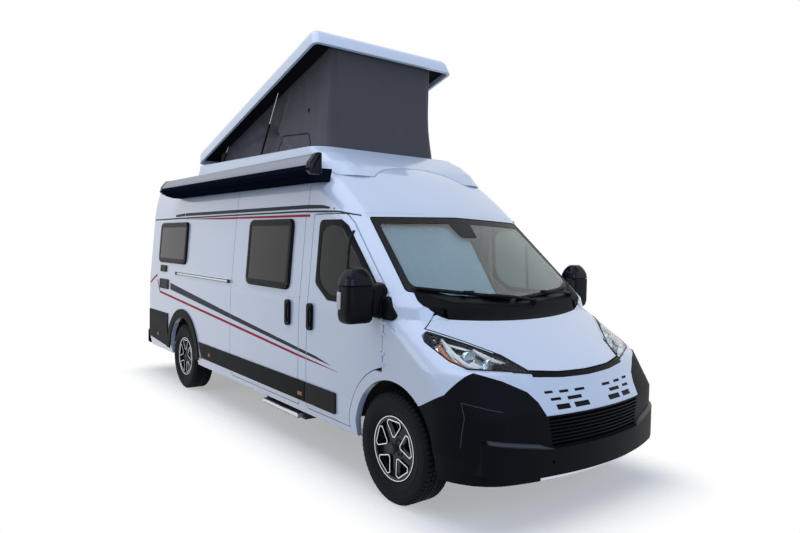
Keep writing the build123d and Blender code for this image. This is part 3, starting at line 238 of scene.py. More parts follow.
# Grained unpainted polypropylene: charcoal with a pebbled moulded grain, drawn at 4 mm so that it shows
grainedPolypropylene = finish("grainedPolypropylene", "#0f1115", rough=0.5, shine=0.05, mottle=(180, 0.05),
                              grain=(4, 0.25), edge=3.0)
# Smoother polypropylene on upward faces and joints of the bumper; its lighter grey-blue colour is a painted
# reflection of the sky
paintedSheenPlastic = finish("paintedSheenPlastic", "#2a3038", rough=0.4, shine=0.4, mottle=(150, 0.05), edge=3.0)
# Satin moulded ABS: near black, smooth, used for mirrors, handles and window frames
satinAbs = finish("satinAbs", "#0b0e13", rough=0.36, shine=0.07, mottle=(120, 0.06), grain=(2, 0.02),
                  edge=1.5)
# Gloss black ABS: lamp bezels and trim strips, a clean dark mirror
glossAbs = finish("glossAbs", "#090f1e", rough=0.12, shine=0.15, mottle=(90, 0.05))
# Matt black extrusion: the lower awning rail, black of its own and partly painted shade under the case, with
# no sheen even at a flat angle
mattBlackAndShade = finish("mattBlackAndShade", "#151b26", rough=0.9, shine=0.0, mottle=(200, 0.05))
# Extruded rubber: seals, step ribs and canvas piping, dull and slightly grey
sealRubber = finish("sealRubber", "#111214", rough=0.7, shine=0.12, mottle=(60, 0.08), grain=(1.5, 0.05))
# Printed ceramic band baked on the glass: flat black seen under gloss
ceramicPrint = finish("ceramicPrint", "#090b0f", rough=0.3, shine=0.12, mottle=(90, 0.04))
# Cut vinyl film: flat slate grey and signal red, with a faint satin skin
slateFilm = finish("slateFilm", "#252c38", rough=0.5, shine=0.12, mottle=(150, 0.03))
redFilm = finish("redFilm", "#b8243a", rough=0.5, shine=0.12, mottle=(150, 0.03))
# Float glass, faintly green at its edges
floatGlass = finish("floatGlass", "#dbe7e6", rough=0.0, clear=1.0, bend=1.45, mottle=(900, 0.01),
                    spread=0.0)
# Green-tinted safety glass of the cab doors
tintedGlass = finish("tintedGlass", "#46585a", rough=0.0, clear=1.0, bend=1.3, mottle=(900, 0.01),
                     spread=0.0)
# Smoked acrylic of the camper and rear windows: brown-black, a third clear
smokedAcrylic = finish("smokedAcrylic", "#1d1b1e", rough=0.06, clear=0.35, bend=1.3, mottle=(300, 0.06),
                       spread=0.02)
# Clear polycarbonate of the lamp lenses
clearPolycarbonate = finish("clearPolycarbonate", "#eef4f6", rough=0.0, clear=1.0, bend=1.16,
                            mottle=(200, 0.01), spread=0.0)
# Vacuum-metallised reflector: bright and slightly blue
metallisedReflector = finish("metallisedReflector", "#d6dde6", metal=1.0, rough=0.12, mottle=(40, 0.05))
# Lens plastics with a fine moulded ripple
redLens = finish("redLens", "#9e0d16", rough=0.2, clear=0.1, shine=0.25, mottle=(30, 0.08), grain=(6, 0.4))
amberLens = finish("amberLens", "#d96f10", rough=0.2, clear=0.1, shine=0.25, mottle=(30, 0.08),
                   grain=(6, 0.4))
milkLens = finish("milkLens", "#e9e4e2", rough=0.15, clear=0.2, coat=0.6, mottle=(30, 0.05), grain=(5, 0.3))
# Anodised aluminium extrusion: silver grey with a soft sheen
anodisedAluminium = finish("anodisedAluminium", "#858d9b", metal=0.8, rough=0.36, mottle=(260, 0.03),
                           grain=(1.6, 0.03), edge=2.0)
# Polished aluminium: slide rail, skid strip, step nosing and strut rods
polishedAluminium = finish("polishedAluminium", "#c9ced6", metal=1.0, rough=0.2, mottle=(90, 0.03),
                           edge=1.5)
# Diamond-turned alloy under lacquer: bright and clean
turnedAlloy = finish("turnedAlloy", "#dfe2e6", metal=1.0, rough=0.2, coat=0.5, mottle=(25, 0.03))
# Black-painted cast alloy
blackAlloy = finish("blackAlloy", "#0e1013", rough=0.34, shine=0.3, mottle=(40, 0.06), grain=(5, 0.05),
                    edge=2.5)
# Vulcanised tyre rubber: warm black, dry and slightly dusty
tyreRubber = finish("tyreRubber", "#131417", rough=0.74, shine=0.14, mottle=(70, 0.1), grain=(2.5, 0.12))
# Waxed chassis steel, iron castings, stainless exhaust, moulded tank
waxedSteel = finish("waxedSteel", "#202124", rough=0.6, metal=0.4, mottle=(120, 0.12), grain=(6, 0.2),
                    edge=2.0)
castIron = finish("castIron", "#4a4b4d", rough=0.62, metal=0.7, mottle=(60, 0.12), grain=(3, 0.4), edge=4.0)
exhaustSteel = finish("exhaustSteel", "#8a8683", rough=0.34, metal=1.0, mottle=(90, 0.1), edge=2.0)
tankPolyethylene = finish("tankPolyethylene", "#1d1e20", rough=0.5, mottle=(150, 0.08), grain=(5, 0.15),
                          edge=4.0)
# Soft-touch dashboard moulding
dashMoulding = finish("dashMoulding", "#2b2d31", rough=0.66, mottle=(120, 0.05), grain=(3, 0.25), edge=6.0)
# Needle felt lining under the raised roof: almost black
liningFelt = finish("liningFelt", "#0e1014", rough=0.92, shine=0.1, mottle=(50, 0.12), grain=(4, 0.5))
# Pale laminate furniture
birchLaminate = finish("birchLaminate", "#c9b391", rough=0.42, coat=0.2, mottle=(90, 0.06),
                       grain=(8, 0.05), edge=3.0)
# Shadow line: the dark bottom of a panel joint or moulded groove
jointShadow = finish("jointShadow", "#2b2f37", rough=0.8, mottle=(80, 0.05))


# Plain-woven cloth: two crossed thread waves on the piece's own UV map, which is in metres.
# The real threads are under 1 mm, so they are drawn as coarse as threadMm to show.
def wovenCloth(name, color, threadMm, reliefMm, **settings):
    material = finish(name, color, mottle=(260.0, 0.06), spread=0.03, **settings)
    tree = material.node_tree
    shader = tree.nodes["Principled BSDF"]
    uv = addNode(tree, "ShaderNodeUVMap", {"uv_map": "cloth"})
    waves = []
    for direction in ("X", "Y"):
        waves.append(addNode(tree, "ShaderNodeTexWave",
                             {"bands_direction": direction, "Scale": 1000.0 / threadMm / math.tau,
                              "Distortion": 0.6, "Detail": 1.0}, {"Vector": uv.outputs[0]}))
    crossed = addNode(tree, "ShaderNodeMath", {"operation": "MULTIPLY"},
                      {0: waves[0].outputs["Fac"], 1: waves[1].outputs["Fac"]})
    bump = addNode(tree, "ShaderNodeBump", {"Strength": 0.8, "Distance": reliefMm / 1000},
                   {"Height": crossed.outputs[0]})
    tree.links.new(bump.outputs[0], shader.inputs["Normal"])
    return material


# Coated tent canvas, warm dark grey, dry with a faint sheen
tentCanvas = wovenCloth("tentCanvas", "#4a4548", 2.5, 0.12, rough=0.86, nap=0.25)
# Charcoal seat cloth with a short dull nap
seatCloth = wovenCloth("seatCloth", "#3a3d44", 4.0, 0.25, rough=0.9, nap=0.35)
# Pleated blind cloth, pale blue-grey
blindCloth = wovenCloth("blindCloth", "#8fa9c0", 2.0, 0.08, rough=0.7, nap=0.2)
# Pale mattress ticking, coarse and matt
mattressTicking = wovenCloth("mattressTicking", "#b9b4ab", 5.0, 0.3, rough=0.92, nap=0.3)


nodeFinishes = [
    (bodyEnamel, ["side_panel_right", "side_panel_left", "roof_panel", "wing_right", "wing_left",
                  "bonnet", "grille_panel", "front_door_right", "front_door_left", "sliding_door",
                  "rear_door_left", "rear_door_right"]),
    (gelCoat, ["roof_collar", "roof_shell"]),
    (grainedPolypropylene, ["cowl_panel", "front_bumper", "rear_bumper", "side_trims"]),
    (satinAbs, ["nose_strip", "side_fittings", "door_trim_right", "door_trim_left"]),
    (sealRubber, ["wheel_liners"]),
    (floatGlass, ["windscreen"]),
    (tintedGlass, ["door_glass_right", "door_glass_left"]),
    (smokedAcrylic, ["rear_glass_left", "rear_glass_right", "camper_windows"]),
    (anodisedAluminium, ["awning_case", "entry_step"]),
    (mattBlackAndShade, ["awning_rail"]),
    (polishedAluminium, ["slide_rail"]),
    (waxedSteel, ["floor_pan", "front_subframe", "rear_axle", "step_cassette"]),
    (castIron, ["knuckle_right", "knuckle_left", "engine_block"]),
    (exhaustSteel, ["exhaust"]),
    (tankPolyethylene, ["fuel_tank"]),
    (dashMoulding, ["dashboard", "steering_wheel"]),
    (birchLaminate, ["furniture"]),
    (blackAlloy, ["rim_front_right", "rim_front_left", "rim_rear_right", "rim_rear_left"]),
]
for material, nodeNames in nodeFinishes:
    for nodeName in nodeNames:
        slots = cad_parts[nodeName].data.materials
        slots.clear()
        slots.append(material)
# pressed and moulded skins: facets of the CAD mesh are shaded as one smooth surface, real edges stay
smoothSkins = {
    "nodes": ["wing_right", "wing_left", "bonnet", "grille_panel", "front_bumper", "roof_collar",
              "roof_shell", "roof_panel", "side_panel_right", "side_panel_left", "front_door_right",
              "front_door_left", "cowl_panel"],
    "weld": 0.00002,
    "edgeAngle": 38,
}
for nodeName in smoothSkins["nodes"]:
    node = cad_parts[nodeName]
    node.modifiers.new("weld", "WELD").merge_threshold = smoothSkins["weld"]
    node.modifiers.new("edges", "EDGE_SPLIT").split_angle = math.radians(smoothSkins["edgeAngle"])
    node.modifiers.new("normals", "WEIGHTED_NORMAL").keep_sharp = False
print("finishes made,", sum(len(nodeNames) for _, nodeNames in nodeFinishes), "nodes painted")


# Shop tools: finding the CAD skin, and making closed shells from rings and grids
skins = {}
rays = {"side": 1.6, "front": 3.6, "rear": -3.8, "deepest": 0.76, "gapShift": 0.009}
weldGap = 2e-6


def skinHit(nodeNames, start, aim):
    best = None
    for nodeName in nodeNames:
        if nodeName not in skins:
            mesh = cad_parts[nodeName].data
            skins[nodeName] = BVHTree.FromPolygons([v.co for v in mesh.vertices],
                                                   [p.vertices for p in mesh.polygons])
        place, normal, _, gap = skins[nodeName].ray_cast(Vector(start), Vector(aim))
        if place and (best is None or gap < best[2]):
            best = (place, normal, gap)
    return best


def onSide(nodeNames, side, x, z):
    # a line that crosses a shut gap takes its depth from the panel just beside the gap
    for shift in (0.0, rays["gapShift"], -rays["gapShift"]):
        hit = skinHit(nodeNames, (x, rays["side"] * side, z + shift), (0, -side, 0))
        if hit and hit[2] < rays["deepest"]:
            return (Vector((hit[0].x, hit[0].y, z)), hit[1], hit[2])
    return None


def onFront(nodeNames, y, z):
    return skinHit(nodeNames, (rays["front"], y, z), (-1, 0, 0))


def onRear(nodeNames, y, z):
    return skinHit(nodeNames, (rays["rear"], y, z), (1, 0, 0))


def lerpLine(points, x):
    # height of a given line at x; the line runs towards larger x
    for (x0, z0), (x1, z1) in zip(points, points[1:]):
        if x <= x1:
            return z0 + (z1 - z0) * (x - x0) / (x1 - x0)
    return points[-1][1]


def newShape():
    return {"verts": [], "faces": [], "marks": []}


def addFaces(shape, verts, faces, mark=0):
    base = len(shape["verts"])
    shape["verts"].extend(tuple(v) for v in verts)
    shape["faces"].extend(tuple(base + i for i in face) for face in faces)
    shape["marks"].extend([mark] * len(faces))


def addRings(shape, rings, closed=False, mark=0):
    # skin over rings of equal count; the ends are capped unless the rings close on themselves
    count = len(rings[0])
    verts = [v for ring in rings for v in ring]
    faces = []
    spans = len(rings) if closed else len(rings) - 1
    for i in range(spans):
        a, b = i * count, (i + 1) % len(rings) * count
        for j in range(count):
            k = (j + 1) % count
            faces.append((a + j, a + k, b + k, b + j))
    if not closed:
        faces.append(tuple(range(count)))
        faces.append(tuple((len(rings) - 1) * count + j for j in range(count)))
    addFaces(shape, verts, faces, mark)


def addGrid(shape, top, bottom, mark=lambda i, j: 0):
    # closed sheet with a thickness: top[i][j] and bottom[i][j] are points of two like grids
    rows, cols = len(top), len(top[0])
    verts = [v for row in top for v in row] + [v for row in bottom for v in row]
    under = rows * cols
    for i in range(rows - 1):
        for j in range(cols - 1):
            a = i * cols + j
            quad = (a, a + 1, a + cols + 1, a + cols)
            addFaces(shape, [verts[k] for k in quad], [(0, 1, 2, 3)], mark(i, j))
            addFaces(shape, [verts[under + k] for k in quad], [(3, 2, 1, 0)], mark(i, j))
    rim = [j for j in range(cols)] + [i * cols + cols - 1 for i in range(1, rows)]
    rim += [(rows - 1) * cols + j for j in range(cols - 2, -1, -1)]
    rim += [i * cols for i in range(rows - 2, 0, -1)]
    for a, b in zip(rim, rim[1:] + rim[:1]):
        addFaces(shape, [verts[a], verts[b], verts[under + b], verts[under + a]], [(0, 1, 2, 3)],
                 mark(min(a // cols, rows - 2), min(a % cols, cols - 2)))


def addSweep(shape, points, normals, section, closed=False, mark=0):
    # section points are (sideways, outwards) in metres from the line; normals are one way or a list
    rings = []
    count = len(points)
    if isinstance(normals, Vector):
        normals = [normals] * count
    for i in range(count):
        before = points[i - 1] if i or closed else points[i]
        after = points[(i + 1) % count] if i < count - 1 or closed else points[i]
        along = (after - before).normalized()
        side = along.cross(normals[i]).normalized()
        out = side.cross(along)
        rings.append([points[i] + side * a + out * b for a, b in section])
    addRings(shape, rings, closed, mark)


def flatBand(width, height, sink=0.0008):
    # low rounded bead: wide at the foot, a little narrower on top, its foot sunk in the skin
    half = width / 2
    return [(-half, -sink), (-half, height * 0.6), (-half * 0.7, height), (half * 0.7, height),
            (half, height * 0.6), (half, -sink)]


def circle(radius, count):
    return [(radius * math.cos(k * math.tau / count), radius * math.sin(k * math.tau / count))
            for k in range(count)]


def rectangle(left, right, low, high):
    return [(left, low), (right, low), (right, high), (left, high)]


def boxCorners(x, z, half, tall):
    return rectangle(x - half, x + half, z - tall, z + tall)


def shares(span, count):
    # count steps over a span of (first, length)
    first, length = span
    return [first + length * k / count for k in range(count + 1)]


def filletLoop(points, radius, steps=5):
    # closed outline with its corners rounded; radius is cut where an edge is short
    loop = []
    count = len(points)
    for i in range(count):
        corner = Vector(points[i])
        toBack = Vector(points[i - 1]) - corner
        toNext = Vector(points[(i + 1) % count]) - corner
        half = toBack.angle(toNext) / 2
        reach = min(radius / math.tan(half), toBack.length * 0.48, toNext.length * 0.48)
        start, end = corner + toBack.normalized() * reach, corner + toNext.normalized() * reach
        for k in range(steps + 1):
            t = k / steps
            loop.append(start * (1 - t) ** 2 + corner * 2 * t * (1 - t) + end * t ** 2)
    return loop


def insetLoop(points, gap):
    # outline moved inwards by gap; points run either way round, and a sharp corner moves 3 gaps at most
    area = sum(a[0] * b[1] - b[0] * a[1] for a, b in zip(points, points[1:] + points[:1]))
    turn = 1 if area > 0 else -1
    moved = []
    count = len(points)
    for i in range(count):
        here = Vector(points[i])
        inDir = (here - Vector(points[i - 1])).normalized()
        outDir = (Vector(points[(i + 1) % count]) - here).normalized()
        n1 = Vector((-inDir.y, inDir.x)) * turn
        n2 = Vector((-outDir.y, outDir.x)) * turn
        both = (n1 + n2).normalized()
        moved.append(here + both * gap / max(0.35, both.dot(n1)))
    return moved


def longRuns(loop, step):
    # adds points on the long edges of a closed outline, so that it can follow a curved skin
    dense = []
    for a, b in zip(loop, loop[1:] + loop[:1]):
        pieces = max(1, round((b - a).length / step))
        dense.extend(a.lerp(b, k / pieces) for k in range(pieces))
    return dense


def addPad(shape, outline, levels, put, mark=0):
    # stacked copies of a flat outline: a level is (inset, height), and put sets a flat point at a height
    rings = [[put(p, height) for p in insetLoop(outline, inset)] for inset, height in levels]
    addRings(shape, rings, mark=mark)


def finishPiece(name, shape, materials, body="van_body", sharp=35.0, replaced=()):
    mesh = bpy.data.meshes.new(name)
    mesh.from_pydata(shape["verts"], [], shape["faces"])
    for material in materials:
        mesh.materials.append(material)
    mesh.polygons.foreach_set("material_index", shape["marks"])
    form = bmesh.new()
    form.from_mesh(mesh)
    bmesh.ops.remove_doubles(form, verts=form.verts, dist=weldGap)
    bmesh.ops.dissolve_degenerate(form, edges=form.edges, dist=weldGap)
    bmesh.ops.recalc_face_normals(form, faces=form.faces)
    form.to_mesh(mesh)
    form.free()
    mesh.shade_smooth()
    mesh.set_sharp_from_angle(angle=math.radians(sharp))
    piece = bpy.data.objects.new(name, mesh)
    scene.collection.objects.link(piece)
    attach(piece, body)
    if replaced:
        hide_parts(*replaced)
    return piece


def roundedBox(shape, low, high, mark=0, turn=None, corner=0.25):
    # chamfered block: eight corners cut back, so that it never shows a bare cube
    low, high = Vector(low), Vector(high)
    mid, half = (low + high) / 2, (high - low) / 2
    cut = min(half) * corner
    rings = []
    for level, shrink in ((-half.z, cut), (-half.z + cut, 0.0), (half.z - cut, 0.0), (half.z, cut)):
        a, b = half.x - shrink, half.y - shrink
        loop = [(a, b - cut), (a - cut, b), (cut - a, b), (-a, b - cut),
                (-a, cut - b), (cut - a, -b), (a - cut, -b), (a, cut - b)]
        ring = [Vector((x, y, level)) for x, y in loop]
        rings.append([mid + (turn @ v if turn else v) for v in ring])
    addRings(shape, rings, mark=mark)


bothSides = (("Right", -1), ("Left", 1))


# Vinyl stripes. Lines are (x, z) on the side; each film lies between its upper and its lower line.
stripes = {
    "film": 0.0006,      # how far a film stands proud of the paint
    "step": 0.06,
    "shortest": 0.002,
    "slateLow": ([(-2.267, 1.207), (-0.462, 1.014), (1.253, 0.844), (1.462, 0.808)],
                 [(-2.244, 1.123), (-0.527, 0.972), (0.932, 0.847), (1.462, 0.8065)]),
    "redLow": ([(-3.036, 1.172), (-2.774, 1.291), (-2.628, 1.081), (-0.465, 0.926), (0.936, 0.8215),
                (1.571, 0.7755)],
               [(-3.036, 1.146), (-2.780, 1.256), (-2.645, 1.056), (-0.465, 0.900), (0.936, 0.8015),
                (1.571, 0.7735)]),
    "slateHigh": ([(-2.239, 2.030), (-1.903, 2.043), (0.959, 2.047), (1.199, 2.039), (1.429, 2.001)],
                  [(-2.238, 2.003), (-1.903, 2.009), (0.960, 2.014), (1.199, 2.010), (1.429, 1.999)]),
    "redHigh": ([(-1.946, 1.9755), (-0.9, 1.9735), (1.023, 1.968)],
                [(-1.946, 1.9735), (-0.9, 1.9545), (1.023, 1.947)]),
    "lowCuts": {"Right": [(-3.2, -0.4385), (-0.4285, 0.9535), (0.9635, 1.0865)], "Left": [(-3.2, 1.0865)]},
    "highCuts": [(-2.3, -1.926), (-1.914, 1.5)],
    "doorCut": (1.0975, 2.11),
}


def layFilm(shape, edges, cut, nodeNames, side):
    upper, lower = edges
    start = max(cut[0], upper[0][0], lower[0][0])
    end = min(cut[1], upper[-1][0], lower[-1][0])
    if end - start < stripes["shortest"]:
        return
    knots = {round(p[0], 4) for p in upper + lower if start < p[0] < end}
    count = max(1, round((end - start) / stripes["step"]))
    xs = sorted(knots | {round(start + (end - start) * k / count, 4) for k in range(count + 1)})
    rings = []
    for x in xs:
        top, low = lerpLine(upper, x), lerpLine(lower, x)
        hits = [onSide(nodeNames, side, x, z) for z in (top, (top + low) / 2, low)]
        out = [h[0] + Vector((0, side * stripes["film"], 0)) for h in hits]
        back = [h[0] - Vector((0, side * stripes["film"], 0)) for h in hits]
        rings.append(out + back[::-1])
    addRings(shape, rings)


def layStripes():
    for sideName, side in bothSides:
        suffix = sideName.lower()
        panels = ["side_panel_" + suffix, "roof_panel"] + (["sliding_door"] if side < 0 else [])
        doorName = "front_door_" + suffix
        for color, film in (("slate", slateFilm), ("red", redFilm)):
            still = newShape()
            for cut in stripes["lowCuts"][sideName]:
                layFilm(still, stripes[color + "Low"], cut, panels, side)
            for cut in stripes["highCuts"]:
                layFilm(still, stripes[color + "High"], cut, panels, side)
            finishPiece(color + "Stripe" + sideName, still, [film], sharp=60)
            leaf = newShape()
            layFilm(leaf, stripes[color + "Low"], stripes["doorCut"], [doorName], side)
            finishPiece(color + "StripeDoor" + sideName, leaf, [film], "cab_leaf_" + suffix, sharp=60)


layStripes()
print("stripes laid")


# Headlamps: clear cover on the CAD skin, metallised tray behind it, blades, projectors and side signal.
# Outline points are (distance from the middle, height); share t runs outwards, share s runs upwards.
lamp = {
    "upper": [(0.484, 0.950), (0.566, 1.033), (0.722, 1.110), (0.912, 1.1765)],
    "lower": [(0.484, 0.950), (0.680, 0.968), (0.860, 0.982), (0.915, 1.020), (0.949, 1.118)],
    "outwards": (0.78, 0.44, 0.45),   # x, away from the middle, up
    "around": ["wing_right", "wing_left", "grille_panel", "bonnet"],
    "grid": (36, 12),
    "spanT": (0.012, 0.976),          # first share and length
    "spanS": (0.03, 0.94),
    "proud": 0.0005,
    "cover": 0.003,
    "lipDepth": 0.006,                # the tray falls from its lip to its floor over fallT and fallS
    "trayDepth": 0.062,
    "fallT": 0.10,
    "fallS": 0.16,
    "trayWall": 0.004,
    "rim": (0.011, 0.0022, 0.006),    # width, height, sink
    "rimDepth": 0.001,
    "blackOuter": 0.90,               # beyond this share of t the tray is black
    "blackInner": 0.20,
    "fins": [0.26, 0.42, 0.58],
    "finSpan": (0.06, 0.30),
    "finDepth": 0.030,
    "finSection": [(-0.001, -0.03), (-0.001, 0.014), (0.001, 0.014), (0.001, -0.03)],
    "projectors": [(0.60, 0.50, 0.040), (0.385, 0.46, 0.030)],   # t, s, radius
    "projectorDepth": 0.050,
    "projectorAim": (1.0, 0.12, 0.05),
    # bezel: share of the bowl's radius, rise
    "bezel": [(1.22, -0.030), (1.22, 0.004), (1.12, 0.010), (1.02, 0.004), (0.98, -0.006)],
    "dome": (0.96, 0.55, -0.006),     # radius share, height share, seat
    "domeTurns": (0.0, 0.3, 0.6, 0.9, 1.2, 1.45),
    "bladeWidth": 0.013,
    "bladeSteps": 20,
    "bladeTaper": (0.12, 0.76),
    "bladeSection": [(-1, 0.0), (-0.6, 0.004), (0.6, 0.004), (1, 0.0), (0.8, -0.03), (-0.8, -0.03)],
    "blades": [  # way points (t, s) of the light blades, and their depth
        ([(0.845, 0.90), (0.80, 0.66), (0.755, 0.40), (0.66, 0.16), (0.56, 0.10)], 0.012),
        ([(0.53, 0.88), (0.46, 0.74), (0.36, 0.62), (0.27, 0.55)], 0.014),
    ],
    "signal": [(0.875, 0.52), (0.865, 0.30), (0.81, 0.13), (0.72, 0.07)],
    "signalDepth": 0.016,
    "signalSection": [(-0.010, -0.02), (-0.009, 0.003), (0.0, 0.006), (0.009, 0.003), (0.010, -0.02)],
}


def alongLine(points, share):
    spans = [(Vector(b) - Vector(a)).length for a, b in zip(points, points[1:])]
    goal = share * sum(spans)
    for a, b, span in zip(points, points[1:], spans):
        if goal <= span:
            return Vector(a).lerp(Vector(b), goal / span)
        goal -= span
    return Vector(points[-1])


def smoothWay(points, count):
    # smooth curve through given way points
    dense = []
    spans = len(points) - 1
    for k in range(count + 1):
        u = k / count * spans
        i = min(int(u), spans - 1)
        t = u - i
        p0, p1, p2, p3 = (Vector(points[max(0, min(spans, i + d))]) for d in (-1, 0, 1, 2))
        dense.append(0.5 * (2 * p1 + (p2 - p0) * t + (2 * p0 - 5 * p1 + 4 * p2 - p3) * t * t
                            + (3 * p1 - p0 - 3 * p2 + p3) * t ** 3))
    return dense


def lampOut(side):
    ahead, away, up = lamp["outwards"]
    return Vector((ahead, side * away, up))


def lampPoint(side, t, s, depth):
    flat = alongLine(lamp["lower"], t).lerp(alongLine(lamp["upper"], t), s)
    hit = onFront(["headlamps"], side * flat.x, flat.y) or onFront(lamp["around"], side * flat.x, flat.y)
    return hit[0] - lampOut(side) * depth


def trayDepth(t, s):
    fallT, fallS = lamp["fallT"], lamp["fallS"]
    border = min(s / fallS, (1 - s) / fallS, (1 - t) / fallT, t / fallT, 1.0)
    ease = border * border * (3 - 2 * border)
    return lamp["lipDepth"] + (lamp["trayDepth"] - lamp["lipDepth"]) * ease


def buildLampTray(word, side, ts, ss):
    def trayMark(i, j):
        black = ts[i] > lamp["blackOuter"] or ts[i] < lamp["blackInner"] or j in (0, len(ss) - 2)
        return 1 if black else 0

    shape = newShape()
    addGrid(shape, [[lampPoint(side, t, s, trayDepth(t, s)) for s in ss] for t in ts],
            [[lampPoint(side, t, s, trayDepth(t, s) + lamp["trayWall"]) for s in ss] for t in ts], trayMark)
    out = lampOut(side).normalized()
    edge = [(t, ss[0]) for t in ts] + [(ts[-1], s) for s in ss[1:-1]] + [(t, ss[-1]) for t in reversed(ts)]
    rim = [lampPoint(side, t, s, lamp["rimDepth"]) for t, s in edge]
    addSweep(shape, rim, out, flatBand(*lamp["rim"]), closed=True, mark=1)
    for s in lamp["fins"]:
        line = [lampPoint(side, t, s, lamp["finDepth"]) for t in shares(lamp["finSpan"], 8)]
        addSweep(shape, line, out, lamp["finSection"], mark=1)
    finishPiece("lampTray" + word, shape, [metallisedReflector, glossAbs], "van_body",
                sharp=50, replaced=["headlamps"] if side < 0 else ())


def buildLampOptics(word, side):
    shape = newShape()
    ahead, away, up = lamp["projectorAim"]
    turn = Vector((ahead, side * away, up)).to_track_quat("Z", "Y").to_matrix()
    wide, tall, seat = lamp["dome"]
    for t, s, radius in lamp["projectors"]:
        place = lampPoint(side, t, s, lamp["projectorDepth"])
        dome = [(wide * math.cos(a), seat + tall * radius * math.sin(a)) for a in lamp["domeTurns"]]
        for mark, line in ((0, lamp["bezel"]), (1, dome)):
            addRings(shape, [[place + turn @ Vector((x, y, rise)) for x, y in circle(radius * share, 28)]
                             for share, rise in line], mark=mark)
    finishPiece("lampProjectors" + word, shape, [metallisedReflector, clearPolycarbonate], "van_body",
                sharp=60)


def buildLampBlades(word, side):
    shape = newShape()
    out = lampOut(side).normalized()
    last = lamp["bladeSteps"]
    taper = shares(lamp["bladeTaper"], last)
    for points, depth in lamp["blades"]:
        spots = [lampPoint(side, t, s, depth) for t, s in smoothWay(points, last)]
        rings = []
        for k, spot in enumerate(spots):
            along = (spots[min(k + 1, last)] - spots[max(k - 1, 0)]).normalized()
            across = along.cross(out).normalized()
            width = lamp["bladeWidth"] * math.sin(math.pi * taper[k])
            rings.append([spot + across * a * width + out * b for a, b in lamp["bladeSection"]])
        addRings(shape, rings)
    spots = [lampPoint(side, t, s, lamp["signalDepth"]) for t, s in smoothWay(lamp["signal"], 14)]
    addSweep(shape, spots, out, lamp["signalSection"], mark=1)
    finishPiece("lampBlades" + word, shape, [milkLens, amberLens], "van_body", sharp=50)


def buildHeadlamp(word, side):
    rows, cols = lamp["grid"]
    ts, ss = shares(lamp["spanT"], rows), shares(lamp["spanS"], cols)
    cover = newShape()
    addGrid(cover, [[lampPoint(side, t, s, -lamp["proud"]) for s in ss] for t in ts],
            [[lampPoint(side, t, s, lamp["cover"]) for s in ss] for t in ts])
    finishPiece("lampCover" + word, cover, [clearPolycarbonate], "van_body", sharp=70)
    buildLampTray(word, side, ts, ss)
    buildLampOptics(word, side)
    buildLampBlades(word, side)


for word, side in bothSides:
    buildHeadlamp(word, side)
print("headlamps built")


# Windscreen: printed border, sensor patch, seal and wipers. Points are (y, z) in front view.
screen = {
    "outline": [(-0.800, 1.940), (0.0, 1.962), (0.800, 1.940), (0.885, 1.425), (0.600, 1.345), (0.0, 1.308),
                (-0.600, 1.345), (-0.885, 1.425)],
    "corner": 0.018,
    "run": 0.07,                      # longest step along an edge
    "edge": 0.006,
    "border": 0.048,
    "sensor": [(-0.135, 1.958), (0.135, 1.958), (0.085, 1.800), (-0.085, 1.800)],
    "sensorCorner": 0.02,
    "sensorMiddle": (0.0, 1.88),
    "print": 0.0014,
    "seal": (0.011, 0.004, 0.002),    # width, height, sink
    "sealShrink": (0.996, 0.994),     # across, and up from middleZ
    "middleZ": 1.63,
}


def screenLine(inset, corner):
    return longRuns(filletLoop(insetLoop(screen["outline"], inset), corner), screen["run"])


def dressScreen():
    glass = ["windscreen"]
    outer = screenLine(screen["edge"], screen["corner"])
    inner = screenLine(screen["border"], screen["corner"] * 2)
    band = newShape()
    lift = Vector((screen["print"], 0, screen["print"]))
    rings = []
    for p in outer:
        near = min(inner, key=lambda q: (q - p).length)   # so that both lines have the same count
        a, b = onFront(glass, p.x, p.y)[0], onFront(glass, near.x, near.y)[0]
        rings.append([a + lift, b + lift, b - lift, a - lift])
    addRings(band, rings, closed=True)
    spots = [onFront(glass, p.x, p.y)[0] for p in filletLoop(screen["sensor"], screen["sensorCorner"])]
    middle = onFront(glass, *screen["sensorMiddle"])[0]
    last = len(spots)
    for sign in (1, -1):
        fan = [s + lift * sign for s in spots] + [middle + lift * sign]
        addFaces(band, fan, [(i, (i + 1) % last, last) for i in range(last)])
    addFaces(band, [s + lift for s in spots] + [s - lift for s in spots],
             [(i, (i + 1) % last, last + (i + 1) % last, last + i) for i in range(last)])
    finishPiece("screenPrint", band, [ceramicPrint], sharp=60)
    seal = newShape()
    across, up = screen["sealShrink"]
    ring = [onFront(glass, p.x * across, screen["middleZ"] + (p.y - screen["middleZ"]) * up)
            for p in screenLine(0.0, screen["corner"])]
    addSweep(seal, [h[0] for h in ring], [h[1] for h in ring], flatBand(*screen["seal"]), closed=True)
    finishPiece("screenSeal", seal, [sealRubber], sharp=60)


wipers = {
    "runs": [  # pivot, elbow, blade start and end
        {"pivot": (0.16, 1.322), "elbow": (-0.30, 1.372), "start": (-0.815, 1.432), "end": (-0.06, 1.350)},
        {"pivot": (0.70, 1.352), "elbow": (0.40, 1.366), "start": (-0.005, 1.345), "end": (0.715, 1.398)},
    ],
    "offGlass": (0.75, 0, 0.66),
    "pivotAim": (0.6, 0, 0.8),
    # pivot: rise, radius
    "pivot": [(-0.012, 0.026), (0.004, 0.026), (0.018, 0.021), (0.030, 0.019), (0.036, 0.012)],
    "armLift": (0.026, 0.012),        # at the ends, and added in the middle
    "arm": [(-0.011, -0.004), (-0.009, 0.006), (0.009, 0.006), (0.011, -0.004)],
    "blade": [(-0.003, -0.001), (-0.004, 0.010), (-0.013, 0.014), (-0.009, 0.024), (0.009, 0.024),
              (0.013, 0.014), (0.004, 0.010), (0.003, -0.001)],
    "clip": ((0.004, -0.045, 0.006), (0.030, 0.045, 0.032)),
}


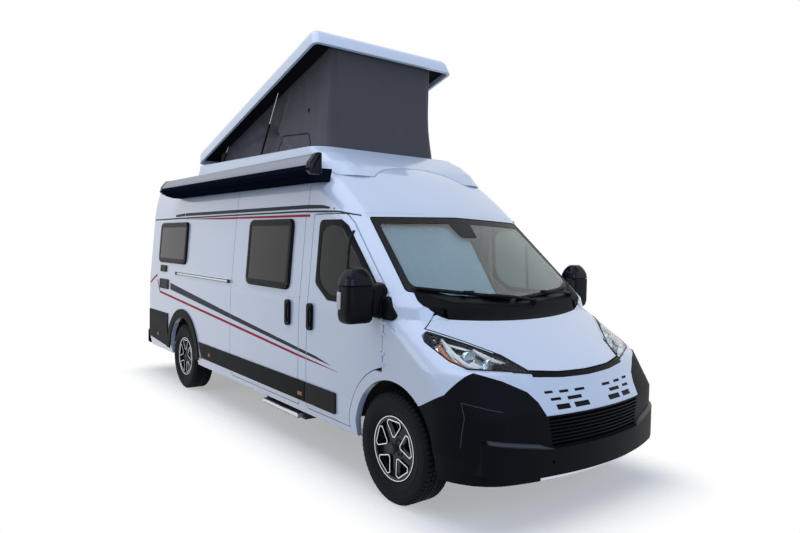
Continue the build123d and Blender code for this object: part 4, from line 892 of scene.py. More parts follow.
def buildWipers():
    skin = ["windscreen", "cowl_panel", "bonnet"]
    off = Vector(wipers["offGlass"])
    turn = Vector(wipers["pivotAim"]).to_track_quat("Z", "Y").to_matrix()
    low, extra = wipers["armLift"]
    arms = newShape()
    for run in wipers["runs"]:
        pivot, elbow, start, end = (Vector(run[k]) for k in ("pivot", "elbow", "start", "end"))
        base = onFront(skin, *pivot)[0]
        addRings(arms, [[base + turn @ Vector((x, y, rise)) for x, y in circle(radius, 16)]
                        for rise, radius in wipers["pivot"]])
        arm = []
        for k in range(11):
            lift = low + extra * math.sin(math.pi * k / 10)
            arm.append(onFront(skin, *pivot.lerp(elbow, k / 10))[0] + off * lift)
        addSweep(arms, arm, off, wipers["arm"])
        blade = [onFront(skin, *start.lerp(end, k / 16)) for k in range(17)]
        addSweep(arms, [h[0] for h in blade], [h[1] for h in blade], wipers["blade"])
        middle = blade[8][0]
        clipLow, clipHigh = wipers["clip"]
        roundedBox(arms, middle + Vector(clipLow), middle + Vector(clipHigh))
    finishPiece("wipers", arms, [satinAbs], sharp=45)


dressScreen()
buildWipers()
print("windscreen dressed")


# Nose: black liners in the slots, ledge capping, bumper joints, skid strip, hinge covers and cowl ends
nose = {
    # slots as inner y, outer y, middle z, height
    "slots": [(0.095, 0.190, 0.832, 0.015), (0.245, 0.325, 0.834, 0.015), (0.375, 0.442, 0.838, 0.014),
              (0.150, 0.278, 0.794, 0.019), (0.332, 0.416, 0.797, 0.015),
              (0.105, 0.242, 0.753, 0.028), (0.282, 0.392, 0.753, 0.028)],
    "slotSink": 0.004,
    "slotDeep": 0.040,
    "slotGrow": 0.0006,
    "slotReach": 0.006,               # the panel's depth is taken this far above or below the slot
    "ledge": [(0.452, 0.5115), (0.60, 0.5330), (0.75, 0.5550), (0.870, 0.5730)],
    "ledgeRise": 0.022,
    "ledgeReach": (0.006, 0.004),     # the bumper's depth is taken this far below and above the ledge
    "ledgeSteps": 24,
    "skid": {"half": 0.50, "z": 0.312, "tall": 0.020, "thick": 0.006, "sink": 0.003, "steps": 32},
    "joints": [[(0.955, 0.801), (0.900, 0.786), (0.840, 0.770), (0.771, 0.754)],
               [(0.955, 0.801), (0.962, 0.720), (0.968, 0.620), (0.970, 0.536)]],
    "jointBand": (0.005, 0.0012, 0.001),
    "hinge": {"y": 0.700, "axis": (2.355, 1.295), "half": 0.0152, "edge": 0.0015,
              "outline": [(-0.0125, 0.0), (-0.0088, 0.0088), (0.0, 0.0125), (0.0088, 0.0088), (0.0125, 0.0),
                          (0.0185, -0.0455), (0.0420, -0.0520), (0.0420, -0.0700), (0.0020, -0.0680),
                          (-0.0115, -0.0480)]},
    # black ends of the cowl beside the glass, in front view: outer edge and inner edge from top to bottom
    "endOuter": [(0.836, 1.444), (0.846, 1.400), (0.853, 1.363), (0.836, 1.330), (0.800, 1.312),
                 (0.764, 1.298)],
    "endInner": [(0.812, 1.436), (0.765, 1.410), (0.725, 1.390), (0.690, 1.368), (0.680, 1.340),
                 (0.690, 1.308)],
    "endNormal": (0.72, 0.42, 0.55),
    "endLift": 0.0022,
    "endSink": 0.004,
    "endGrid": (24, 8),
}


def lineSlots():
    shape = newShape()
    grow = nose["slotGrow"]
    for side in (-1, 1):
        for near, far, mid, tall in nose["slots"]:
            front = []
            for y, z in rectangle(near, far, mid - tall / 2, mid + tall / 2):
                up = 1 if z > mid else -1
                outer = 1 if y == far else -1
                x = onFront(["grille_panel"], side * y, z + up * nose["slotReach"])[0].x
                front.append(Vector((x - nose["slotSink"], side * (y + outer * grow), z + up * grow)))
            addRings(shape, [front, [spot - Vector((nose["slotDeep"], 0, 0)) for spot in front]])
    finishPiece("slotLiners", shape, [satinAbs])


# the ledge cap's lighter plastic is a painted reflection of the sky on the ledge's top face
def capLedge():
    below, above = nose["ledgeReach"]
    count = nose["ledgeSteps"]
    first, last = nose["ledge"][0][0], nose["ledge"][-1][0]
    for word, side in bothSides:
        rings = []
        for k, y in enumerate(shares((first, last - first), count)):
            z = lerpLine(nose["ledge"], y)
            rise = nose["ledgeRise"] * min(1.0, 4 * k / count + 0.15)   # the cap tapers at its inner end
            low = onFront(["front_bumper"], side * y, z - below)[0].x
            high = onFront(["front_bumper"], side * y, z + rise + above)[0].x
            section = [(low + 0.0012, -0.004), (low - 0.004, 0.004), (high + 0.003, rise - 0.002),
                       (high - 0.004, rise), (high - 0.006, -0.004)]
            rings.append([Vector((x, side * y, z + up)) for x, up in section])
        shape = newShape()
        addRings(shape, rings)
        finishPiece(f"ledgeCap{word}", shape, [paintedSheenPlastic], sharp=50)


def fitBumper():
    skid = nose["skid"]
    half, tall = skid["half"], skid["tall"] / 2
    front, back = [], []
    for z, bulge in ((skid["z"] - tall, 0.55), (skid["z"], 1.0), (skid["z"] + tall, 0.55)):
        hits = [onFront(["front_bumper"], y, z)[0] for y in shares((-half, 2 * half), skid["steps"])]
        front.append([h + Vector((skid["thick"] * bulge, 0, 0)) for h in hits])
        back.append([h - Vector((skid["sink"], 0, 0)) for h in hits])
    strip = newShape()
    addGrid(strip, front, back)
    finishPiece("skidStrip", strip, [polishedAluminium], "van_body")
    for word, side in bothSides:
        lines = newShape()
        for line in nose["joints"]:
            dense = [Vector(a).lerp(Vector(b), k / 6) for a, b in zip(line, line[1:]) for k in range(6)]
            hits = [onFront(["front_bumper"], side * p.x, p.y) for p in dense + [Vector(line[-1])]]
            hits = [h for h in hits if h]
            addSweep(lines, [h[0] for h in hits], [h[1] for h in hits], flatBand(*nose["jointBand"]))
        finishPiece(f"bumperJoint{word}", lines, [jointShadow])


def coverHinges():
    hinge = nose["hinge"]
    x, z = hinge["axis"]
    half, edge = hinge["half"], hinge["edge"]
    for word, side in bothSides:
        shape = newShape()
        addPad(shape, hinge["outline"], [(edge, -half), (0.0, edge - half), (0.0, half - edge), (edge, half)],
               lambda p, across: Vector((x + p.x, side * hinge["y"] + across, z + p.y)))
        finishPiece(f"hingeCover{word}", shape, [satinAbs], "bonnet_lid")


def endCowl():
    skin = ["wing_right", "wing_left", "side_panel_right", "side_panel_left", "cowl_panel", "windscreen"]
    rows, cols = nose["endGrid"]
    spans = len(nose["endOuter"]) - 1
    ahead, away, up = nose["endNormal"]
    for word, side in bothSides:
        normal = Vector((ahead, side * away, up))
        front, back = [], []
        for k in range(rows + 1):
            t = k / rows * spans
            i = min(int(t), spans - 1)
            a, b = (Vector(line[i]).lerp(Vector(line[i + 1]), t - i)
                    for line in (nose["endOuter"], nose["endInner"]))
            hits = [onFront(skin, side * p.x, p.y)[0] for p in (a.lerp(b, j / cols) for j in range(cols + 1))]
            front.append([h + normal * nose["endLift"] for h in hits])
            back.append([h - normal * nose["endSink"] for h in hits])
        shape = newShape()
        addGrid(shape, front, back)
        finishPiece(f"cowlEnd{word}", shape, [grainedPolypropylene], sharp=50)


lineSlots()
capLedge()
fitBumper()
coverHinges()
endCowl()
print("nose dressed")


# Node groups that repeat a part: an empty group with its inputs, and the mesh that a group makes
def newGroup(name, inputs):
    group = bpy.data.node_groups.new(name, "GeometryNodeTree")
    group.interface.new_socket("Geometry", in_out="OUTPUT", socket_type="NodeSocketGeometry")
    sockets = {}
    for title, kind in inputs.items():
        socket = group.interface.new_socket(title, in_out="INPUT", socket_type="NodeSocket" + kind)
        sockets[title] = socket.identifier
    return group, sockets


def groupMesh(group, sockets, values):
    carrier = bpy.data.objects.new("carrier", bpy.data.meshes.new("carrier"))
    scene.collection.objects.link(carrier)
    modifier = carrier.modifiers.new("parts", "NODES")
    modifier.node_group = group
    for title, value in values.items():
        modifier[sockets[title]] = value
    carrier.update_tag()
    bpy.context.view_layer.update()
    graph = bpy.context.evaluated_depsgraph_get()
    mesh = bpy.data.meshes.new_from_object(carrier.evaluated_get(graph))
    bpy.data.objects.remove(carrier)
    return mesh


# Ring of copies, for tread and bolts
def makeRingGroup():
    group, sockets = newGroup("ringOfParts", {"Part": "Object", "Count": "Int", "Radius": "Float",
                                              "Coat": "Material"})
    given = addNode(group, "NodeGroupInput")
    spots = addNode(group, "GeometryNodeMeshCircle", None,
                    {"Vertices": given.outputs["Count"], "Radius": given.outputs["Radius"]})
    step = addNode(group, "ShaderNodeMath", {"operation": "DIVIDE", 0: math.tau}, {1: given.outputs["Count"]})
    which = addNode(group, "GeometryNodeInputIndex")
    angle = addNode(group, "ShaderNodeMath", {"operation": "MULTIPLY"},
                    {0: which.outputs[0], 1: step.outputs[0]})
    turn = addNode(group, "ShaderNodeCombineXYZ", None, {"Z": angle.outputs[0]})
    part = addNode(group, "GeometryNodeObjectInfo", None, {"Object": given.outputs["Part"]})
    copies = addNode(group, "GeometryNodeInstanceOnPoints", None,
                     {"Points": spots.outputs["Mesh"], "Instance": part.outputs["Geometry"],
                      "Rotation": turn.outputs[0]})
    real = addNode(group, "GeometryNodeRealizeInstances", None, {"Geometry": copies.outputs["Instances"]})
    coat = addNode(group, "GeometryNodeSetMaterial", None,
                   {"Geometry": real.outputs["Geometry"], "Material": given.outputs["Coat"]})
    addNode(group, "NodeGroupOutput", None, {"Geometry": coat.outputs["Geometry"]})
    return group, sockets


ringGroup, ringSockets = makeRingGroup()


def ringShape(part, count, radius, material, place):
    # copies of part (out along X, round along Y, across along Z) as verts and faces, moved to place
    mesh = bpy.data.meshes.new("ringPart")
    mesh.from_pydata([tuple(v) for v in part["verts"]], [], part["faces"])
    source = bpy.data.objects.new("ringPart", mesh)
    scene.collection.objects.link(source)
    made = groupMesh(ringGroup, ringSockets,
                     {"Part": source, "Count": count, "Radius": radius, "Coat": material})
    verts = [place @ v.co for v in made.vertices]
    faces = [tuple(p.vertices) for p in made.polygons]
    bpy.data.objects.remove(source)
    bpy.data.meshes.remove(made)
    return verts, faces


def turnedBand(shape, place, section, count):
    # closed section of (radius, across) turned about the wheel's axis
    rings = []
    for x, y in circle(1.0, count):
        rings.append([place @ Vector((r * x, r * y, w)) for r, w in section])
    addRings(shape, rings, closed=True)


tyre = {
    "centers": {"front": (2.2335, 0.905, 0.372), "rear": (-1.8015, 0.895, 0.372)},
    "turns": 120,
    # outside of half the carcass from bead to the groove floor: (radius, across)
    "carcass": [(0.2190, 0.080), (0.2235, 0.0925), (0.2290, 0.0965), (0.2330, 0.0955), (0.2370, 0.0985),
                (0.2520, 0.1045), (0.2720, 0.1085), (0.2745, 0.1105), (0.2790, 0.1107), (0.2815, 0.1090),
                (0.3020, 0.1118), (0.3200, 0.1112), (0.3330, 0.1088), (0.3350, 0.1098), (0.3385, 0.1092),
                (0.3400, 0.1065), (0.3500, 0.1020), (0.3590, 0.0930), (0.3625, 0.0820), (0.3640, 0.0600)],
    "inside": [(0.2190, -0.070), (0.2320, -0.066), (0.2320, 0.066), (0.2190, 0.070)],
    "floor": 0.3640,
    "tread": 0.3715,
    "pitches": 64,
    "sink": 0.002,
    # ribs: across from, across to, share of the pitch that is rubber, slant of the block along the ring
    "ribs": [(-0.0880, -0.0600, 0.80, 0.0030), (-0.0530, -0.0290, 0.86, -0.0045),
             (-0.0220, 0.0220, 0.93, 0.0060),
             (0.0290, 0.0530, 0.86, 0.0045), (0.0600, 0.0880, 0.80, -0.0030)],
    "shoulder": (0.0900, 0.1030, 0.3500),   # across from, across to, radius at its foot
    "lugShare": 0.36,
}


def treadPitch():
    # the five blocks of one pitch, on the groove floor, and the two shoulder lugs that run down the side
    shape = newShape()
    pitch = math.tau * tyre["tread"] / tyre["pitches"]
    rise = tyre["tread"] - tyre["floor"] + tyre["sink"]
    for low, high, share, slant in tyre["ribs"]:
        half = pitch * share / 2
        rings = []
        for level, cut in ((-tyre["sink"], 0.0), (rise - 0.0035, 0.0), (rise - 0.002, 0.0012)):
            ring = []
            for across, lean in ((low + cut, -slant), (high - cut, slant)):
                ends = [lean - half + cut, lean + half - cut]
                if across > (low + high) / 2:
                    ends.reverse()
                ring.extend(Vector((level, e, across)) for e in ends)
            rings.append(ring)
        addRings(shape, rings)
    inner, outer, foot = tyre["shoulder"]
    half = pitch * tyre["lugShare"]
    for side in (-1, 1):
        drop = foot - tyre["floor"]
        line = [(rise - 0.0030, inner - 0.003, half), (rise - 0.0060, inner + 0.0035, half),
                (drop * 0.45, outer - 0.0035, half * 0.96), (drop, outer + 0.0012, half * 0.9),
                (drop - 0.004, outer - 0.006, half * 0.9), (-0.004, inner - 0.008, half * 0.96)]
        strip = [Vector((x, way * width, side * across)) for way in (1, -1) for x, across, width in line]
        count = len(line)
        faces = [tuple(range(count)), tuple(range(2 * count - 1, count - 1, -1))]
        faces += [(i, (i + 1) % count, count + (i + 1) % count, count + i) for i in range(count)]
        addFaces(shape, strip, faces)
    return shape


def wheelPlace(end, side):
    # wheel frame: Z across and outwards, X and Y in the wheel's plane
    x, y, z = tyre["centers"][end]
    across = Vector((0, side, 0))
    up = Vector((0, 0, 1))
    turn = Matrix((up, across.cross(up), across)).transposed().to_4x4()
    return Matrix.Translation((x, side * y, z)) @ turn


def buildTyre(end, word, side):
    place = wheelPlace(end, side)
    shape = newShape()
    half = tyre["carcass"]
    section = half + [(r, -w) for r, w in reversed(half)] + tyre["inside"]
    turnedBand(shape, place, section, tyre["turns"])
    verts, faces = ringShape(treadPitch(), tyre["pitches"], tyre["floor"], tyreRubber, place)
    addFaces(shape, verts, faces)
    name = f"tyre{end.title()}{word}"
    finishPiece(name, shape, [tyreRubber], f"wheel_{end}_{word.lower()}", sharp=32.0,
                replaced=(f"tyre_{end}_{word.lower()}",))


wheel = {
    # one window between two spokes: across, out
    "window": [(-0.008, 0.080), (0.008, 0.080), (0.070, 0.160), (0.058, 0.182),
               (-0.058, 0.182), (-0.070, 0.160)],
    "windowRound": 0.008,
    "edgeWidth": 0.0062,
    "edgeHeight": 0.0012,
    "spokes": 5,
    "lip": [(0.2110, 0.0905), (0.2110, 0.0942), (0.2125, 0.0956), (0.2160, 0.0956), (0.2172, 0.0945),
            (0.2172, 0.0905)],
    "bolt": (0.0090, 0.0075, 0.0450),       # half across, height, radius of the bolt circle
    "cap": [(0.0, 0.0135), (0.0120, 0.0132), (0.0220, 0.0118), (0.0270, 0.0095), (0.0300, 0.0055),
            (0.0315, 0.0)],
    "capTip": 0.0006,
    "capSink": 0.004,
    "rayStart": 0.3,
}


def faceDepth(rimName, place, x, y):
    # how far out the rim's face lies at x, y of the wheel frame
    start = place @ Vector((x, y, wheel["rayStart"]))
    aim = place.to_3x3() @ Vector((0, 0, -1))
    hit = skinHit([rimName], start, aim)
    return wheel["rayStart"] - hit[2] if hit else None


def dressWheel(end, word, side):
    place = wheelPlace(end, side)
    rimName = f"rim_{end}_{word.lower()}"
    body = f"wheel_{end}_{word.lower()}"
    bright = newShape()
    outline = filletLoop(wheel["window"], wheel["windowRound"])
    band = insetLoop(outline, -wheel["edgeWidth"] / 2)
    axis = (place.to_3x3() @ Vector((0, 0, 1))).normalized()
    level = faceDepth(rimName, place, 0.0, 0.192) or 0.062
    for spoke in range(wheel["spokes"]):
        # the wheel frame's X is up, so a window's outward way is X and its across way is Y
        turn = Matrix.Rotation(spoke * math.tau / wheel["spokes"], 4, "Z")
        points = [place @ turn @ Vector((p.y, p.x, level)) for p in band]
        addSweep(bright, points, axis, flatBand(wheel["edgeWidth"], wheel["edgeHeight"]), closed=True)
    turnedBand(bright, place, wheel["lip"], 96)
    finishPiece(f"wheelEdges{end.title()}{word}", bright, [turnedAlloy], body)
    dark = newShape()
    hub = faceDepth(rimName, place, 0.045, 0.012) or 0.058
    middle = faceDepth(rimName, place, 0.0, 0.0) or hub
    base = max(hub, middle)
    tip = wheel["capTip"]
    levels = [(max(r, tip), w - tip) for r, w in wheel["cap"]] + [(wheel["cap"][-1][0], -wheel["capSink"])]
    addRings(dark, [[place @ Vector((x, y, base + w)) for x, y in circle(r, 40)] for r, w in levels])
    finishPiece(f"hubCap{end.title()}{word}", dark, [satinAbs], body)
    across, tall, ring = wheel["bolt"]
    bolt = newShape()
    addRings(bolt, [[Vector((x, y, w)) for x, y in circle(r, 6)]
                    for r, w in ((across * 1.25, -0.002), (across * 1.25, 0.0022), (across, 0.0026),
                                 (across, tall), (across * 0.8, tall + 0.0018))])
    bolts = newShape()
    shift = place @ Matrix.Translation((0, 0, hub))
    verts, faces = ringShape(bolt, wheel["spokes"], ring, blackAlloy, shift)
    addFaces(bolts, verts, faces)
    finishPiece(f"wheelBolts{end.title()}{word}", bolts, [blackAlloy], body)


for end in ("front", "rear"):
    for word, side in bothSides:
        buildTyre(end, word, side)
        dressWheel(end, word, side)
print("tyres and wheels dressed")


# Window frames: a raised black band between an outer and an inner line, laid on the panel and its pane
def frameBand(shape, outer, inner, sinkPoint, lift):
    # sinkPoint gives the skin point under a flat point; lift is the way outwards times the band's height
    rings = []
    for a, b in zip(outer, inner):
        p, q = sinkPoint(a), sinkPoint(b)
        rings.append([p - lift * 0.4, p + lift * 0.7, p.lerp(q, 0.12) + lift, p.lerp(q, 0.88) + lift,
                      q + lift * 0.5, q - lift * 0.4])
    addRings(shape, rings, closed=True)


def pairedRuns(outer, inner, step):
    # adds points on the long edges of two closed lines of equal count, pair by pair
    first, second = [], []
    for i in range(len(outer)):
        k = (i + 1) % len(outer)
        pieces = max(1, round((outer[k] - outer[i]).length / step))
        first.extend(outer[i].lerp(outer[k], n / pieces) for n in range(pieces))
        second.extend(inner[i].lerp(inner[k], n / pieces) for n in range(pieces))
    return first, second


camperWindows = {
    "panes": [(-2.700, -1.750, 1.450, 1.930), (-0.070, 0.770, 1.340, 1.930)],   # rear, front, low, top
    "corner": 0.070,
    "run": 0.08,
    "edge": 0.003,
    "border": 0.052,
    "height": 0.0025,
    "lip": (0.020, 0.010, 0.008),     # outer rubber lip against the wall: width, height, sink
    "lipBack": 0.016,
}


def frameCamperWindows():
    for word, side in bothSides:
        def spot(p):
            return onSide(["camper_windows"], side, p.x, p.y)[0]

        shape = newShape()
        for pane in camperWindows["panes"]:
            base = longRuns(filletLoop(rectangle(*pane), camperWindows["corner"], 8), camperWindows["run"])
            outer = insetLoop(base, camperWindows["edge"])
            inner = insetLoop(base, camperWindows["border"])
            frameBand(shape, outer, inner, spot, Vector((0, side * camperWindows["height"], 0)))
            lip = [spot(p) - Vector((0, side * camperWindows["lipBack"], 0)) for p in outer]
            addSweep(shape, lip, Vector((0, side, 0)), flatBand(*camperWindows["lip"]), closed=True,
                     mark=1)
        finishPiece(f"camperFrames{word}", shape, [satinAbs, sealRubber], sharp=40)


cabWindow = {
    "outline": [(1.195, 1.420), (1.390, 1.305), (2.082, 1.300), (2.082, 1.383), (1.568, 1.868),
                (1.485, 1.915), (1.195, 1.915)],
    "corner": 0.060,
    "innerCorner": 0.200,
    "run": 0.04,
    "outside": 0.006,
    "inside": 0.040,
    "height": 0.004,
    "bar": (1.630, 1.335, 1.835),     # x, foot, head
    "barBand": (0.030, 0.005, 0.002),
}


def frameCabWindows():
    for word, side in bothSides:
        nodeWord = word.lower()
        skin = [f"front_door_{nodeWord}", f"door_glass_{nodeWord}"]

        def spot(p):
            return onSide(skin, side, p[0], p[1])[0]

        outer = filletLoop(insetLoop(cabWindow["outline"], -cabWindow["outside"]), cabWindow["corner"], 9)
        inner = filletLoop(insetLoop(cabWindow["outline"], cabWindow["inside"]), cabWindow["innerCorner"], 9)
        outer, inner = pairedRuns(outer, inner, cabWindow["run"])
        shape = newShape()
        frameBand(shape, outer, inner, spot, Vector((0, side * cabWindow["height"], 0)))
        x, low, high = cabWindow["bar"]
        points = [spot((x, z)) for z in shares((low, high - low), 12)]
        addSweep(shape, points, Vector((0, side, 0)), flatBand(*cabWindow["barBand"]))
        finishPiece(f"cabFrame{word}", shape, [satinAbs], f"cab_leaf_{nodeWord}", sharp=40)


rearWindow = {
    "outline": [(0.180, 1.290), (0.760, 1.290), (0.740, 1.830), (0.180, 1.830)],   # y, z
    "corner": 0.060,
    "run": 0.08,
    "outside": 0.008,
    "border": 0.050,
    "height": 0.004,
}


def frameRearWindows():
    for word, side in bothSides:
        nodeWord = word.lower()

        def spot(p):
            return onRear([f"rear_glass_{nodeWord}", f"rear_door_{nodeWord}"], p.x, p.y)[0]

        corners = [(side * y, z) for y, z in rearWindow["outline"]]
        base = longRuns(filletLoop(corners, rearWindow["corner"], 7), rearWindow["run"])
        shape = newShape()
        frameBand(shape, insetLoop(base, -rearWindow["outside"]), insetLoop(base, rearWindow["border"]), spot,
                  Vector((-rearWindow["height"], 0, 0)))
        finishPiece(f"rearFrame{word}", shape, [satinAbs], f"rear_leaf_{nodeWord}", sharp=40)


frameCamperWindows()
frameCabWindows()
frameRearWindows()
print("window frames laid")


# Door mirrors: rounded housing, domed gloss cap, glass, side signal, and a broad foot on the door's corner.
# The plan is rear, front, near and far; housing and cap levels are height and how far the plan shrinks there.
mirror = {
    "plan": (1.945, 2.105, 1.070, 1.292),
    "corner": 0.050,
    "housing": [(1.205, 0.032), (1.211, 0.018), (1.226, 0.007), (1.262, 0.0), (1.452, 0.0), (1.4565, 0.004)],
    "cap": [(1.4595, 0.004), (1.464, 0.0), (1.500, 0.006), (1.535, 0.021), (1.560, 0.040), (1.573, 0.053),
            (1.579, 0.068)],
    "core": [(1.448, 0.016), (1.468, 0.016)],
    "glass": (1.088, 1.274, 1.268, 1.438),            # near, far, low, high
    "glassCorner": 0.026,
    "glassLevels": [(0.0, -0.010), (0.0, 0.0012), (0.004, 0.0030)],     # inset, how far it stands proud
    "signal": [(1.964, 1.300), (2.010, 1.300), (2.014, 1.416), (1.968, 1.416)],
    "signalCorner": 0.008,
    "signalLevels": [(0.0, -0.010), (0.0, 0.0021), (0.004, 0.0035)],
    # arm between foot and housing: distance from the middle, then rear, front, low and high edge
    "arm": [(1.010, 1.985, 2.100, 1.238, 1.470), (1.045, 1.984, 2.106, 1.240, 1.466),
            (1.085, 1.976, 2.100, 1.246, 1.456)],
    "armCorner": 0.030,
    "armSink": 0.004,
    "foot": [(1.985, 1.478), (2.060, 1.472), (2.110, 1.440), (2.110, 1.233), (2.030, 1.234)],
    "footAhead": [(2.1195, 1.392), (2.150, 1.380), (2.236, 1.262), (2.212, 1.230), (2.1195, 1.233)],
    "footCorner": 0.022,
    "footRun": 0.025,
    "footLevels": [(1.0, -0.006), (1.0, 0.0108), (0.95, 0.0162), (0.86, 0.018), (0.6, 0.018), (0.35, 0.018),
                   (0.12, 0.018)],                    # share of the outline, height
    "footSeat": 0.985,                                # depth where the outline runs off the panel
}


def mirrorLoop(side, shrink, z):
    rear, front, near, far = mirror["plan"]
    flat = rectangle(rear + shrink, front - shrink, near + shrink, far - shrink)
    rounded = filletLoop(flat, max(0.010, mirror["corner"] - shrink * 0.6), 7)
    return [Vector((p.x, side * p.y, z)) for p in rounded]


def skinDepth(nodes, side, x, z):
    hit = onSide(nodes, side, x, z)
    return hit[0].y if hit else side * mirror["footSeat"]


def mirrorFoot(shape, side, outline, nodes):
    # pad that follows the skin: sunk edge, rounded shoulder, top closed in towards its middle
    loop = longRuns(filletLoop(outline, mirror["footCorner"], 5), mirror["footRun"])
    middle = sum(loop, Vector((0.0, 0.0))) / len(loop)
    rings = []
    for share, height in mirror["footLevels"]:
        flat = [middle.lerp(p, share) for p in loop]
        rings.append([Vector((p.x, skinDepth(nodes, side, p.x, p.y) + side * height, p.y)) for p in flat])
    addRings(shape, rings)


def buildMirrors():
    rearX, farY = mirror["plan"][0], mirror["plan"][3]
    for word, side in bothSides:
        nodeWord = word.lower()
        doorSkin = [f"front_door_{nodeWord}", f"door_glass_{nodeWord}"]
        shape = newShape()
        for levels, mark in ((mirror["housing"], 0), (mirror["cap"], 1), (mirror["core"], 0)):
            addRings(shape, [mirrorLoop(side, shrink, z) for z, shrink in levels], mark=mark)
        glass = filletLoop(rectangle(*mirror["glass"]), mirror["glassCorner"], 6)
        addPad(shape, glass, mirror["glassLevels"],
               lambda p, proud: Vector((rearX - proud, side * p.x, p.y)), mark=2)
        addPad(shape, filletLoop(mirror["signal"], mirror["signalCorner"], 4), mirror["signalLevels"],
               lambda p, proud: Vector((p.x, side * (farY + proud), p.y)), mark=3)
        rings = []
        for y, rear, front, low, high in mirror["arm"]:
            flat = filletLoop(rectangle(rear, front, low, high), mirror["armCorner"], 5)
            rings.append([Vector((p.x, side * y, p.y)) for p in flat])
        for p in rings[0]:
            hit = onSide(doorSkin, side, p.x, p.z)
            p.y = hit[0].y - side * mirror["armSink"] if hit else side * mirror["footSeat"]
        addRings(shape, rings)
        mirrorFoot(shape, side, mirror["foot"], doorSkin)
        finishPiece(f"mirror{word}", shape, [satinAbs, glossAbs, metallisedReflector, milkLens],
                    f"cab_leaf_{nodeWord}", sharp=45)
        ahead = newShape()
        bodySkin = [f"side_panel_{nodeWord}", f"wing_{nodeWord}", "windscreen"]
        mirrorFoot(ahead, side, mirror["footAhead"], bodySkin)
        finishPiece(f"mirrorFoot{word}", ahead, [satinAbs], sharp=45)


# Door handles: a dished plate on each CAD plate, with a grip bar across it
handles = {
    "places": [("CabRight", 1.155, "cab_leaf_right", -1), ("CabLeft", 1.155, "cab_leaf_left", 1),
               ("Slider", 0.785, "van_body", -1)],
    "z": 1.148,
    "seatY": 1.0445,
    "half": (0.0375, 0.108),
    "plate": [(-0.0012, -0.016), (-0.0012, 0.001), (0.003, 0.0035), (0.008, 0.0030), (0.014, 0.0006)],
    "barX": 0.006,
    "barHalf": 0.078,
    "barLift": (0.001, 0.010),        # at the ends, and added in the middle
    "grip": [(-0.013, -0.004), (-0.013, 0.003), (-0.0078, 0.006), (0.0078, 0.006), (0.013, 0.003),
             (0.013, -0.004)],
}


def buildHandles():
    wide, tall = handles["half"]
    low, extra = handles["barLift"]
    for place, x, body, side in handles["places"]:
        shape = newShape()
        addPad(shape, filletLoop(boxCorners(x, handles["z"], wide, tall), wide, 8), handles["plate"],
               lambda p, out: Vector((p.x, side * (handles["seatY"] + out), p.y)))
        bar = []
        for k in range(15):
            out = handles["seatY"] + low + extra * math.sin(math.pi * k / 14) ** 0.5
            rise = handles["barHalf"] * (2 * k / 14 - 1)
            bar.append(Vector((x + handles["barX"], side * out, handles["z"] + rise)))
        addSweep(shape, bar, Vector((0, side, 0)), handles["grip"])
        finishPiece(f"handle{place}", shape, [satinAbs], body, sharp=45)


buildMirrors()
buildHandles()
print("mirrors and handles built")


def clothMap(piece):
    # UV map in metres: each face is laid flat along its main direction
    mesh = piece.data
    layer = mesh.uv_layers.new(name="cloth")
    for polygon in mesh.polygons:
        n = polygon.normal
        a, b = (0, 2) if abs(n.y) >= max(abs(n.x), abs(n.z)) else (1, 2) if abs(n.x) >= abs(n.z) else (0, 1)
        for loop in polygon.loop_indices:
            spot = mesh.vertices[mesh.loops[loop].vertex_index].co
            layer.data[loop].uv = (spot[a], spot[b])


canvas = {
    "rearX": -1.780,
    "frontX": 0.748,
    "half": 0.606,
    "proud": (0.004, 0.006),          # past the front and past the sides
    "corner": 0.09,
    "lean": 0.040,
    "frontLean": 0.066,
    "footZ": (2.6175, 2.5685),        # at the rear and at the front
    "topRear": 2.7275,
    "topGap": 0.003,
    "slope": 0.30707,
    "least": 0.02,
    "step": 0.022,
    "rows": 26,
    "thick": 0.0028,
    # creases of the side wall: from, to, width, depth; a minus sign folds outwards
    "creases": [
        ((-0.413, 2.855), (-0.126, 3.147), 0.045, 0.022),
        ((-0.36, 2.86), (-0.06, 3.13), 0.06, -0.014),
        ((-0.413, 2.855), (-0.016, 2.600), 0.035, 0.016),
        ((-0.38, 2.90), (0.06, 2.64), 0.05, -0.008),
        ((-0.413, 2.855), (-0.750, 2.973), 0.028, -0.014),
        ((-0.43, 2.90), (-0.62, 3.0), 0.05, 0.014),
        ((-0.430, 2.850), (-1.261, 2.760), 0.030, 0.020),
        ((-0.55, 2.895), (-1.20, 2.815), 0.045, -0.016),
        ((-1.423, 2.698), (-1.256, 2.600), 0.030, 0.012),
        ((-1.404, 2.80), (-1.62, 2.66), 0.04, -0.010),
    ],
    "creaseGain": 1.6,
    "creaseFade": 0.55,
    "pull": ((-0.413, 2.855), 0.26, 0.030),
    "sway": (1.9, 2.6, 3.1, 0.010),   # slow waves: along, up, shift, depth
    "gather": (9.0, 1.3, 0.0035),     # small gathers: along, up, depth
    "hollow": 0.018,
    "foldKeep": 0.07,
    "foldZ": 2.567,
    "cutTall": 0.93,
    "window": [(-0.30, 2.618), (-0.27, 2.790), (0.335, 2.750), (0.400, 2.600)],
    "windowCorner": 0.06,
    "windowRun": 0.03,
    "piping": (0.010, 0.0035, 0.002),
    "stud": (0.302, 2.968),
    "studRings": [(0.020, -0.003), (0.020, 0.003), (0.014, 0.006), (0.004, 0.0065)],
}


def canvasFoot(x):
    rear, front = canvas["footZ"]
    return rear + (front - rear) * (x - canvas["rearX"]) / (canvas["frontX"] - canvas["rearX"])


def canvasHead(x):
    return canvas["topRear"] + (x - canvas["rearX"]) * canvas["slope"] - canvas["topGap"]


